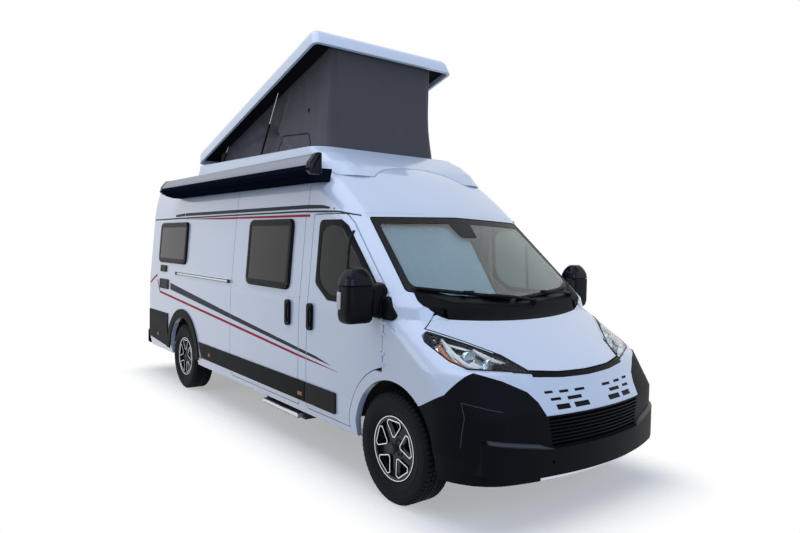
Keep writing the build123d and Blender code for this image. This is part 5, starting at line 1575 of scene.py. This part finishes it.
def creaseDepth(x, z):
    spot = Vector((x, z))
    depth = 0.0
    for start, end, width, amount in canvas["creases"]:
        a, b = Vector(start), Vector(end)
        t = max(0.0, min(1.0, (spot - a).dot(b - a) / (b - a).length_squared))
        near = (spot - a.lerp(b, t)).length
        fade = 1.0 - canvas["creaseFade"] * t
        depth += canvas["creaseGain"] * amount * fade * math.exp(-(near / width) ** 2)
    place, reach, amount = canvas["pull"]
    return depth + amount * math.exp(-((spot - Vector(place)).length / reach) ** 2)


def canvasPoint(spot, out, t, inner):
    # spot is on the plan outline, out its outward direction, t runs from foot to head
    foot = canvasFoot(spot.x)
    head = max(foot + canvas["least"], canvasHead(spot.x))
    z = foot + (head - foot) * t
    rise = (z - 2.5) / 1.1
    lean = canvas["lean"] * abs(out.y) + canvas["frontLean"] * max(0.0, out.x)
    hold = min(1.0, 9.0 * t, 9.0 * (1 - t)) * min(1.0, (head - foot) / 0.3)
    inwards = canvas["hollow"] * math.sin(math.pi * t) * min(1.0, (head - foot) / 0.5)
    if abs(out.y) > 0.9:
        inwards += creaseDepth(spot.x, z) * abs(out.y)
    along, up, shift, depth = canvas["sway"]
    inwards += depth * noise.noise(Vector((spot.x * along, spot.y * along, z * up + shift)))
    along, up, depth = canvas["gather"]
    inwards += depth * noise.noise(Vector((spot.x * along, spot.y * along, z * up)))
    amount = lean * rise + inwards * hold + inner
    return Vector((spot.x - out.x * amount, spot.y - out.y * amount, z))


def canvasSpot(side, x, z):
    # point of the side wall at x and height z
    t = (z - canvasFoot(x)) / (canvasHead(x) - canvasFoot(x))
    wall = Vector((x, side * (canvas["half"] + canvas["proud"][1])))
    return canvasPoint(wall, Vector((0, side)), t, 0.0)


def canvasOutline():
    ahead, aside = canvas["proud"]
    a, b, h, r = canvas["rearX"], canvas["frontX"] + ahead, canvas["half"] + aside, canvas["corner"]
    corners = [((b - r, r - h), -90), ((b - r, h - r), 0), ((a + r, h - r), 90), ((a + r, r - h), 180)]
    line = []
    for (x, y), first in corners:
        for k in range(7):
            angle = math.radians(first + 15 * k)
            out = Vector((math.cos(angle), math.sin(angle)))
            line.append((Vector((x, y)) + out * r, out))
    dense = []
    for (p, n), (q, m) in zip(line, line[1:] + line[:1]):
        pieces = max(1, round((q - p).length / canvas["step"]))
        for k in range(pieces):
            dense.append((p.lerp(q, k / pieces), (n + (m - n) * (k / pieces)).normalized()))
    return dense


def foldDown(piece):
    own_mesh(piece)


def buildCanvas():
    rings = []
    outline = canvasOutline()
    rows = canvas["rows"]
    for i, (spot, out) in enumerate(outline):
        outer = [canvasPoint(spot, out, k / rows, 0.0) for k in range(rows + 1)]
        inner = [canvasPoint(spot, out, k / rows, canvas["thick"]) for k in range(rows, -1, -1)]
        rings.append(outer + inner)
    shape = newShape()
    addRings(shape, rings, closed=True)
    piece = finishPiece("canvasWall", shape, [tentCanvas], "van_body", sharp=60.0,
                        replaced=("roof_canvas",))
    clothMap(piece)
    # piped edge of the side window and the round pull stud, sewn on the wall
    for word, side in bothSides:
        trim = newShape()
        loop = longRuns(filletLoop(canvas["window"], canvas["windowCorner"], 6), canvas["windowRun"])
        points = [canvasSpot(side, p.x, p.y) for p in loop]
        addSweep(trim, points, Vector((0, side, 0)), flatBand(*canvas["piping"]), closed=True)
        stud = canvasSpot(side, *canvas["stud"])
        addRings(trim, [[stud + Vector((a, side * out, b)) for a, b in circle(radius, 20)]
                        for radius, out in canvas["studRings"]], mark=1)
        sewn = finishPiece(f"canvasTrim{word}", trim, [sealRubber, satinAbs], "van_body")
        foldDown(sewn)
    foldDown(piece)


# Gas struts beside the canvas, and the short rear stays: foot and head as (x, z), with the share that is
# cylinder
struts = {
    "y": 0.640,
    "lines": [((-0.600, 2.590), (-0.187, 3.235), 0.52), ((-1.572, 2.640), (-1.404, 2.820), 0.55)],
    "cylinder": 0.0095,
    "rod": 0.0045,
    "end": (0.016, 0.012, 0.016),
}


def buildStruts():
    end = Vector(struts["end"])
    for word, side in bothSides:
        shape = newShape()
        out = Vector((0, side, 0))
        for foot, head, share in struts["lines"]:
            a = Vector((foot[0], side * struts["y"], foot[1]))
            b = Vector((head[0], side * struts["y"], head[1]))
            cylinder = [a.lerp(b, t) for t in (0.0, share * 0.98, share)]
            addSweep(shape, cylinder, out, circle(struts["cylinder"], 12))
            rod = [a.lerp(b, t) for t in (share * 0.9, 1.0)]
            addSweep(shape, rod, out, circle(struts["rod"], 10), mark=1)
            for joint in (a, b):
                roundedBox(shape, joint - end, joint + end)
        piece = finishPiece(f"roofStruts{word}", shape, [satinAbs, polishedAluminium])
        foldDown(piece)


# Felt lining under the raised shell, in the shell's own frame: ahead from the hinge, up from it
lining = {
    "hinge": (-1.930, 2.640),
    "raise": 17.07,
    "box": (0.024, 2.776, -0.764, 0.764),
    "corner": 0.045,
    "levels": [(0.006, 0.0335), (0.0, 0.0365), (0.0, 0.0396)],
}


def shellPoint(x, y, z):
    tilt = math.radians(lining["raise"])
    return Vector((lining["hinge"][0] + x * math.cos(tilt) - z * math.sin(tilt), y,
                   lining["hinge"][1] + x * math.sin(tilt) + z * math.cos(tilt)))


def buildLining():
    loop = filletLoop(rectangle(*lining["box"]), lining["corner"], 6)
    shape = newShape()
    addPad(shape, loop, lining["levels"], lambda p, z: shellPoint(p.x, p.y, z))
    finishPiece("roofLining", shape, [liningFelt], "pop_roof")


# Awning: dark lower rail along the case, partly painted shade, and two rounded end caps. Corners are (y, z)
awning = {
    "rearX": -2.200,
    "frontX": 1.352,
    "profile": [(-1.060, 2.262), (-1.135, 2.262), (-1.165, 2.290), (-1.156, 2.350), (-1.110, 2.412),
                (-1.085, 2.425), (-1.060, 2.425)],
    "profileCorner": 0.012,
    "rail": [(-1.1576, 2.330), (-1.1608, 2.3285), (-1.1678, 2.2888), (-1.1362, 2.2592), (-1.066, 2.2600),
             (-1.066, 2.2640), (-1.132, 2.2640), (-1.161, 2.2915)],
    "railShort": 0.002,
    "groove": [(-1.1665, 2.306), (-1.1688, 2.300), (-1.1692, 2.294), (-1.1660, 2.292), (-1.163, 2.298)],
    # cap: inset from the profile, past the end of the case
    "cap": [(0.0005, -0.055), (-0.0035, -0.055), (-0.0035, -0.012), (-0.001, 0.002), (0.008, 0.0075),
            (0.020, 0.009)],
}


def buildAwning():
    shape = newShape()
    ends = (awning["rearX"] + awning["railShort"], awning["frontX"] - awning["railShort"])
    for section in (awning["rail"], awning["groove"]):
        addRings(shape, [[Vector((x, y, z)) for y, z in section] for x in ends])
    # the rail cover's matt black is partly painted shade under the case
    finishPiece("awningRailCover", shape, [mattBlackAndShade])
    loop = filletLoop(awning["profile"], awning["profileCorner"], 4)
    for word, x, way in (("Front", awning["frontX"], 1), ("Rear", awning["rearX"], -1)):
        cap = newShape()
        addPad(cap, loop, awning["cap"], lambda p, past: Vector((x + way * past, p.x, p.y)))
        finishPiece(f"awningCap{word}", cap, [glossAbs])


# Rain gutter over the side windows, and the joints of the roof side: (x, z)
gutter = {
    "panels": ["roof_panel", "side_panel_right", "side_panel_left", "front_door_right", "front_door_left",
               "sliding_door"],
    "line": [(-3.02, 1.9790), (-2.0, 1.9860), (-0.9, 1.9905), (0.895, 1.9930), (1.423, 1.9820),
             (1.590, 1.9500)],
    "steps": 90,
    "band": (0.015, 0.0045, 0.003),
    "joints": [(0.98, 2.000, 2.205), (-0.43, 2.000, 2.210)],
    "jointBand": (0.004, 0.0006, 0.001),
}


def buildGutter():
    start, stop = gutter["line"][0][0], gutter["line"][-1][0]
    xs = shares((start, stop - start), gutter["steps"])
    for word, side in bothSides:
        shape = newShape()
        hits = [onSide(gutter["panels"], side, x, lerpLine(gutter["line"], x)) for x in xs]
        points = [h[0] for h in hits if h]
        addSweep(shape, points, Vector((0, side, 0)), flatBand(*gutter["band"]))
        finishPiece(f"roofGutter{word}", shape, [jointShadow])
        seams = newShape()
        for x, low, high in gutter["joints"]:
            hits = [onSide(["roof_panel"], side, x, z) for z in shares((low, high - low), 10)]
            hits = [h for h in hits if h]
            if len(hits) > 2:
                addSweep(seams, [h[0] for h in hits], [h[1] for h in hits], flatBand(*gutter["jointBand"]))
        finishPiece(f"roofJoints{word}", seams, [jointShadow])


buildCanvas()
buildStruts()
buildLining()
buildAwning()
buildGutter()
print("roof, canvas and awning dressed")


# Rear lamps: the CAD housings cut at the segment lines, each segment in its own lens plastic
rearLamp = {"cuts": [1.010, 1.140, 1.265], "gap": 0.004, "lenses": [redLens, milkLens, amberLens, redLens]}


def buildRearLamps():
    cuts, half = rearLamp["cuts"], rearLamp["gap"] / 2
    for word, side in bothSides:
        form = bmesh.new()
        form.from_mesh(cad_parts["rear_lamps"].data)
        bmesh.ops.delete(form, geom=[v for v in form.verts if v.co.y * side < 0], context="VERTS")
        for z in cuts:
            for edge in (z - half, z + half):
                everything = form.verts[:] + form.edges[:] + form.faces[:]
                bmesh.ops.bisect_plane(form, geom=everything, plane_co=(0, 0, edge), plane_no=(0, 0, 1),
                                       dist=1e-6)
        for face in form.faces:
            z = face.calc_center_median().z
            inGap = any(abs(z - cut) < half for cut in cuts)
            face.material_index = len(rearLamp["lenses"]) if inGap else sum(z > cut for cut in cuts)
        mesh = bpy.data.meshes.new(f"rearLamp{word}")
        form.to_mesh(mesh)
        form.free()
        for material in rearLamp["lenses"] + [glossAbs]:
            mesh.materials.append(material)
        mesh.shade_smooth()
        mesh.set_sharp_from_angle(angle=math.radians(35))
        piece = bpy.data.objects.new(f"rearLamp{word}", mesh)
        scene.collection.objects.link(piece)
        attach(piece, "van_body")
        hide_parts("rear_lamps")


# Rear doors and bumper: blank plate on the left leaf, handle on the right one, brake lamps and reflectors.
# Outlines are two y and two z values.
rearDoor = {
    "plate": (0.10, 0.62, 0.985, 1.105),
    "plateEdge": 0.012,
    "handle": (-0.165, -0.075, 1.02, 1.20),
    "brake": (0.17, 0.33, 1.929, 1.961),
    "reflector": (0.725, 0.875, 0.482, 0.518),
    "sink": 0.010,
    "rounding": 0.006,
}


def rearPad(shape, nodes, corners, lift, radius, mark=0):
    loop = filletLoop(corners, radius, 5)
    base = min(onRear(nodes, p.x, p.y)[0].x for p in loop)
    levels = [(0.0, -rearDoor["sink"]), (0.0, lift * 0.6), (min(radius, rearDoor["rounding"]), lift)]
    addPad(shape, loop, levels, lambda p, out: Vector((base - out, p.x, p.y)), mark)


def dressRear():
    plate = newShape()
    near, far, low, high = rearDoor["plate"]
    edge = rearDoor["plateEdge"]
    rearPad(plate, ["rear_door_left"], rectangle(near, far, low, high), 0.006, edge)
    face = rectangle(near + edge, far - edge, low + edge, high - edge)
    rearPad(plate, ["rear_door_left"], face, 0.0075, 0.006, mark=1)
    finishPiece("plateRecess", plate, [satinAbs, milkLens], "rear_leaf_left")
    grip = newShape()
    rearPad(grip, ["rear_door_right"], rectangle(*rearDoor["handle"]), 0.018, 0.020)
    finishPiece("rearHandle", grip, [satinAbs], "rear_leaf_right")
    for word, side in bothSides:
        nodeWord = word.lower()
        for name, key, node, body, lift in (
                ("brakeLamp", "brake", f"rear_door_{nodeWord}", f"rear_leaf_{nodeWord}", 0.010),
                ("rearReflector", "reflector", "rear_bumper", "van_body", 0.005)):
            near, far, low, high = rearDoor[key]
            shape = newShape()
            rearPad(shape, [node], rectangle(side * near, side * far, low, high), lift, 0.006)
            finishPiece(name + word, shape, [redLens], body)


buildRearLamps()
dressRear()
print("rear dressed")


# Stuffed form: a rounded box whose sides pull in between its corners, crowned on top, with sewn channels.
# channels are (axis, place, depth, width) across the top face; place is a share from -1 to 1
def padForm(shape, size, place, channels, turn=Matrix.Identity(3), crown=0.10, pinch=0.03, count=20,
            power=6.0, flatBelow=False, topAxis=2):
    spots = {}
    verts, faces = [], []

    def corner(u, v, w):
        key = (round(u, 6), round(v, 6), round(w, 6))
        if key not in spots:
            spots[key] = len(verts)
            s = (abs(u) ** power + abs(v) ** power + abs(w) ** power) ** (1 / power)
            p = [u / s, v / s, w / s]
            a, b = [k for k in range(3) if k != topAxis]
            swell = (1 - p[a] ** 4) * (1 - p[b] ** 4)
            rise = p[topAxis]
            if rise > 0 or not flatBelow:
                p[topAxis] *= 1 + crown * swell
            p[a] *= 1 - pinch * (1 - p[b] ** 2)
            p[b] *= 1 - pinch * (1 - p[a] ** 2)
            spot = [p[k] * size[k] / 2 for k in range(3)]
            if rise > 0.5:
                for axis, middle, depth, width in channels:
                    near = (p[axis] - middle) * size[axis] / 2
                    spot[topAxis] -= depth * math.exp(-(near / width) ** 2)
            verts.append(Vector(place) + turn @ Vector(spot))
        return spots[key]

    for axis in range(3):
        for end in (-1, 1):
            for i in range(count):
                for j in range(count):
                    quad = []
                    for a, b in ((i, j), (i + 1, j), (i + 1, j + 1), (i, j + 1)):
                        cube = [2 * a / count - 1, 2 * b / count - 1]
                        cube.insert(axis, end)
                        quad.append(corner(*cube))
                    faces.append(tuple(quad))
    addFaces(shape, verts, faces)


def finishPad(name, shape, cloth):
    piece = finishPiece(name, shape, [cloth], "van_body", sharp=70)
    clothMap(piece)


# Cab seats: each pad has its size, middle as x and z, tilt in degrees, top axis and channels
seat = {
    "y": 0.430,
    "pads": [
        ("Cushion", (0.520, 0.500, 0.140), (1.280, 0.862), 0, 2,
         [(1, -0.52, 0.014, 0.016), (1, 0.52, 0.014, 0.016),
          (0, -0.15, 0.008, 0.014), (0, 0.35, 0.008, 0.014)]),
        ("Back", (0.130, 0.480, 0.680), (1.020, 1.220), -10, 0,
         [(1, -0.52, 0.014, 0.016), (1, 0.52, 0.014, 0.016),
          (2, -0.25, 0.008, 0.014), (2, 0.35, 0.008, 0.014)]),
        ("Headrest", (0.095, 0.260, 0.210), (0.945, 1.640), -8, 0, [(2, 0.0, 0.006, 0.012)]),
    ],
    "pedestal": (1.060, 1.420, 0.190, 0.522, 0.800),   # rear, front, half width, low, high
    "stalkY": 0.055,
    "stalk": [(0.970, 1.48), (0.950, 1.60)],           # foot and head as x and z
    "stalkRadius": 0.007,
}
bed = {
    "size": (1.700, 1.840, 0.100),
    "place": (-2.170, 0.0, 1.1815),
    "channels": [(1, 0.0, 0.010, 0.02), (0, -0.5, 0.006, 0.02), (0, 0.0, 0.006, 0.02), (0, 0.5, 0.006, 0.02)],
    "pinch": 0.01,
    "count": 34,
    "power": 12.0,
    "flatBelow": True,
}
bench = {
    "size": (0.580, 0.530, 0.090),
    "place": (0.0, 0.655, 1.0265),
    "channels": [(0, 0.0, 0.008, 0.016)],
    "pinch": 0.02,
    "flatBelow": True,
}


def buildSeats():
    frames = newShape()
    for word, side in bothSides:
        middle = side * seat["y"]
        rear, front, half, low, high = seat["pedestal"]
        roundedBox(frames, (rear, middle - half, low), (front, middle + half, high), corner=0.15)
        for y in (middle - seat["stalkY"], middle + seat["stalkY"]):
            addSweep(frames, [Vector((x, y, z)) for x, z in seat["stalk"]], Vector((0, 1, 0)),
                     circle(seat["stalkRadius"], 10), mark=1)
        for pad, size, (x, z), tilt, top, channels in seat["pads"]:
            shape = newShape()
            turn = Matrix.Rotation(math.radians(tilt), 3, "Y")
            padForm(shape, size, (x, middle, z), channels, turn, topAxis=top)
            finishPad(f"seat{pad}{word}", shape, seatCloth)
    finishPiece("seatFrames", frames, [dashMoulding, polishedAluminium], "van_body",
                replaced=("cab_seats",))
    shape = newShape()
    padForm(shape, **bed)
    finishPad("mattress", shape, mattressTicking)
    shape = newShape()
    padForm(shape, **bench)
    finishPad("benchCushion", shape, seatCloth)


# Cab blind: pleated cloth drawn half across behind the windscreen, with a rail at its free edge
blind = {
    "outerY": (-0.830, -0.770),       # fixed edge at the foot and at the top
    "freeY": (-0.125, 0.085),         # free edge, which leans
    "footZ": (1.450, 1.365),          # at the fixed edge and at the free edge
    "high": 1.915,
    "behind": 0.045,
    "pitch": 0.022,
    "fold": 0.0022,
    "thick": 0.0012,
    "rows": 14,
    "rail": [(-0.007, -0.008), (-0.007, 0.004), (0.007, 0.004), (0.007, -0.008)],
    "railBack": 0.001,
    "hem": 0.005,
}


def between(pair, share):
    return pair[0] + (pair[1] - pair[0]) * share


def blindPoint(share, rise, extra):
    outer, free = between(blind["outerY"], rise), between(blind["freeY"], rise)
    foot = between(blind["footZ"], share)
    hit = onFront(["windscreen"], outer + (free - outer) * share, foot + (blind["high"] - foot) * rise)
    return hit[0] - hit[1] * (blind["behind"] + extra)


def buildBlind():
    halves = 2 * round((blind["freeY"][0] - blind["outerY"][0]) / blind["pitch"])
    rows = blind["rows"]
    front, back = [], []
    for i in range(halves + 1):
        wave = blind["fold"] * (1 if i % 2 else -1)
        front.append([blindPoint(i / halves, k / rows, wave) for k in range(rows + 1)])
        back.append([blindPoint(i / halves, k / rows, wave + blind["thick"]) for k in range(rows + 1)])
    shape = newShape()
    addGrid(shape, front, back)
    piece = finishPiece("cabBlind", shape, [blindCloth], "van_body", sharp=30)
    clothMap(piece)
    rail = newShape()
    edge = [p - Vector((blind["railBack"], 0, 0)) for p in front[-1]]
    addSweep(rail, edge, Vector((0.7, 0, 0.7)), blind["rail"])
    strip = finishPiece("blindRail", rail, [sealRubber])


buildSeats()
buildBlind()
print("seats, mattress and blind made")


# Side markers in the lower trims: x, height, lens
markers = {
    "places": [(1.020, 0.507, amberLens), (-0.940, 0.518, redLens), (-2.650, 0.537, redLens)],
    "half": (0.036, 0.014),
    "lift": 0.006,
    "bezel": (0.008, 0.007),          # how far the bezel reaches past the lens
    "bezelLift": 0.003,
    "nodes": ["side_trims", "door_trim_right", "door_trim_left"],
}


def sidePad(shape, nodes, side, corners, lift, radius, mark=0):
    loop = filletLoop(corners, radius, 4)
    middle = sum(loop, Vector((0, 0))) / len(loop)
    base = onSide(nodes, side, middle.x, middle.y)[0].y
    addPad(shape, loop, [(0.0, -0.008), (0.0, lift * 0.55), (min(radius, 0.004), lift)],
           lambda p, out: Vector((p.x, base + side * out, p.y)), mark)


def placeMarkers():
    half, tall = markers["half"]
    moreX, moreZ = markers["bezel"]
    for word, side in bothSides:
        for k, (x, z, lens) in enumerate(markers["places"]):
            shape = newShape()
            sidePad(shape, markers["nodes"], side, boxCorners(x, z, half + moreX, tall + moreZ),
                    markers["bezelLift"], 0.008)
            sidePad(shape, markers["nodes"], side, boxCorners(x, z, half, tall), markers["lift"], 0.006,
                    mark=1)
            finishPiece(f"sideMarker{word}{k + 1}", shape, [satinAbs, lens], "van_body")


# Slide rail: dark lips along its edges, end stops, and the waist fold of the sliding door below it
slider = {
    "rail": (-2.040, -0.460, 1.331),  # rear, front, height
    "railHalf": 0.015,
    "lip": 0.006,
    "lipEnd": 0.04,
    "stops": [-2.022, -0.474],
    "fold": (-0.425, 0.955, 1.285),
    "foldSection": [(-0.015, -0.001), (-0.003, 0.0035), (0.003, 0.0035), (0.015, -0.001)],
}


def dressSlider():
    rear, front, z = slider["rail"]
    end, half = slider["lipEnd"], slider["lip"] / 2
    shape = newShape()
    base = onSide(["slide_rail"], -1, (rear + front) / 2, z)[0].y
    for edge in (-1, 1):
        middle = z + edge * (slider["railHalf"] - half)
        roundedBox(shape, (rear + end, base - 0.0015, middle - half),
                   (front - end, base + 0.004, middle + half))
    for x in slider["stops"]:
        roundedBox(shape, (x - 0.020, base - 0.004, z - 0.018), (x + 0.020, base + 0.010, z + 0.018), mark=1)
    finishPiece("railStops", shape, [jointShadow, satinAbs])
    start, stop, z = slider["fold"]
    hits = [onSide(["sliding_door"], -1, x, z) for x in shares((start, stop - start), 40)]
    hits = [h for h in hits if h]
    fold = newShape()
    addSweep(fold, [h[0] for h in hits], Vector((0, -1, 0)), slider["foldSection"])
    finishPiece("sliderFold", fold, [bodyEnamel], "van_body", sharp=60)


# Entry step: rubber ribs repeated across the board, and a bright nosing at its edge
step = {
    "middle": (0.570, -0.815, 0.300),
    "deep": 0.300,
    "ribs": 15,
    "rib": (0.560, 0.008, 0.003),
    "ribSink": 0.0006,
    "ribEdge": 0.001,
    "nosing": ((-0.325, -0.175, -0.030), (0.325, -0.160, 0.0035)),   # from the middle
}


def makeRowGroup():
    group, sockets = newGroup("rowOfParts", {"Count": "Int", "Start": "Vector", "Step": "Vector",
                                             "Size": "Vector", "Coat": "Material"})
    given = addNode(group, "NodeGroupInput")
    line = addNode(group, "GeometryNodeMeshLine", {"mode": "OFFSET"},
                   {"Count": given.outputs["Count"], "Start Location": given.outputs["Start"],
                    "Offset": given.outputs["Step"]})
    block = addNode(group, "GeometryNodeMeshCube", None, {"Size": given.outputs["Size"]})
    placed = addNode(group, "GeometryNodeInstanceOnPoints", None,
                     {"Points": line.outputs[0], "Instance": block.outputs[0]})
    real = addNode(group, "GeometryNodeRealizeInstances", None, {0: placed.outputs[0]})
    coat = addNode(group, "GeometryNodeSetMaterial", None,
                   {"Geometry": real.outputs[0], "Material": given.outputs["Coat"]})
    addNode(group, "NodeGroupOutput", None, {0: coat.outputs[0]})
    return group, sockets


def ribStep():
    x, y, z = step["middle"]
    gap = step["deep"] / step["ribs"]
    start = (x, y - step["deep"] / 2 + gap / 2, z + step["rib"][2] / 2 - step["ribSink"])
    group, sockets = makeRowGroup()
    mesh = groupMesh(group, sockets, {"Count": step["ribs"], "Start": start, "Step": (0.0, gap, 0.0),
                                      "Size": step["rib"], "Coat": sealRubber})
    mesh.name = "stepRibs"
    ribs = bpy.data.objects.new("stepRibs", mesh)
    scene.collection.objects.link(ribs)
    edge = ribs.modifiers.new("softEdge", "BEVEL")
    edge.width = step["ribEdge"]
    edge.segments = 2
    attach(ribs, "step_board")
    low, high = (Vector(step["middle"]) + Vector(corner) for corner in step["nosing"])
    nosing = newShape()
    roundedBox(nosing, low, high, corner=0.6)
    finishPiece("stepNosing", nosing, [polishedAluminium], "step_board")


# Service flaps: a rim and a small round lock each. Places are x, z, half width and half height
flaps = {
    "places": [(-2.465, 1.180, 0.155, 0.059), (-2.520, 1.368, 0.100, 0.040)],
    "edge": 0.004,
    "rim": (0.010, 0.0035, 0.002),    # width, height, sink
    "lockAt": 0.7,                    # share of the half width
    "lock": 0.014,
}


def dressFlaps():
    shape = newShape()
    for x, z, half, tall in flaps["places"]:
        corners = boxCorners(x, z, half - flaps["edge"], tall - flaps["edge"])
        loop = longRuns(filletLoop(corners, 0.010, 4), 0.05)
        spots = [onSide(["side_fittings"], -1, p.x, p.y)[0] for p in loop]
        addSweep(shape, spots, Vector((0, -1, 0)), flatBand(*flaps["rim"]), closed=True)
        lock = boxCorners(x + half * flaps["lockAt"], z, flaps["lock"], flaps["lock"])
        sidePad(shape, ["side_fittings"], -1, lock, 0.005, 0.012, mark=1)
    finishPiece("flapRims", shape, [satinAbs, jointShadow], sharp=40)


placeMarkers()
dressSlider()
ribStep()
dressFlaps()
print("markers, slider and step dressed")
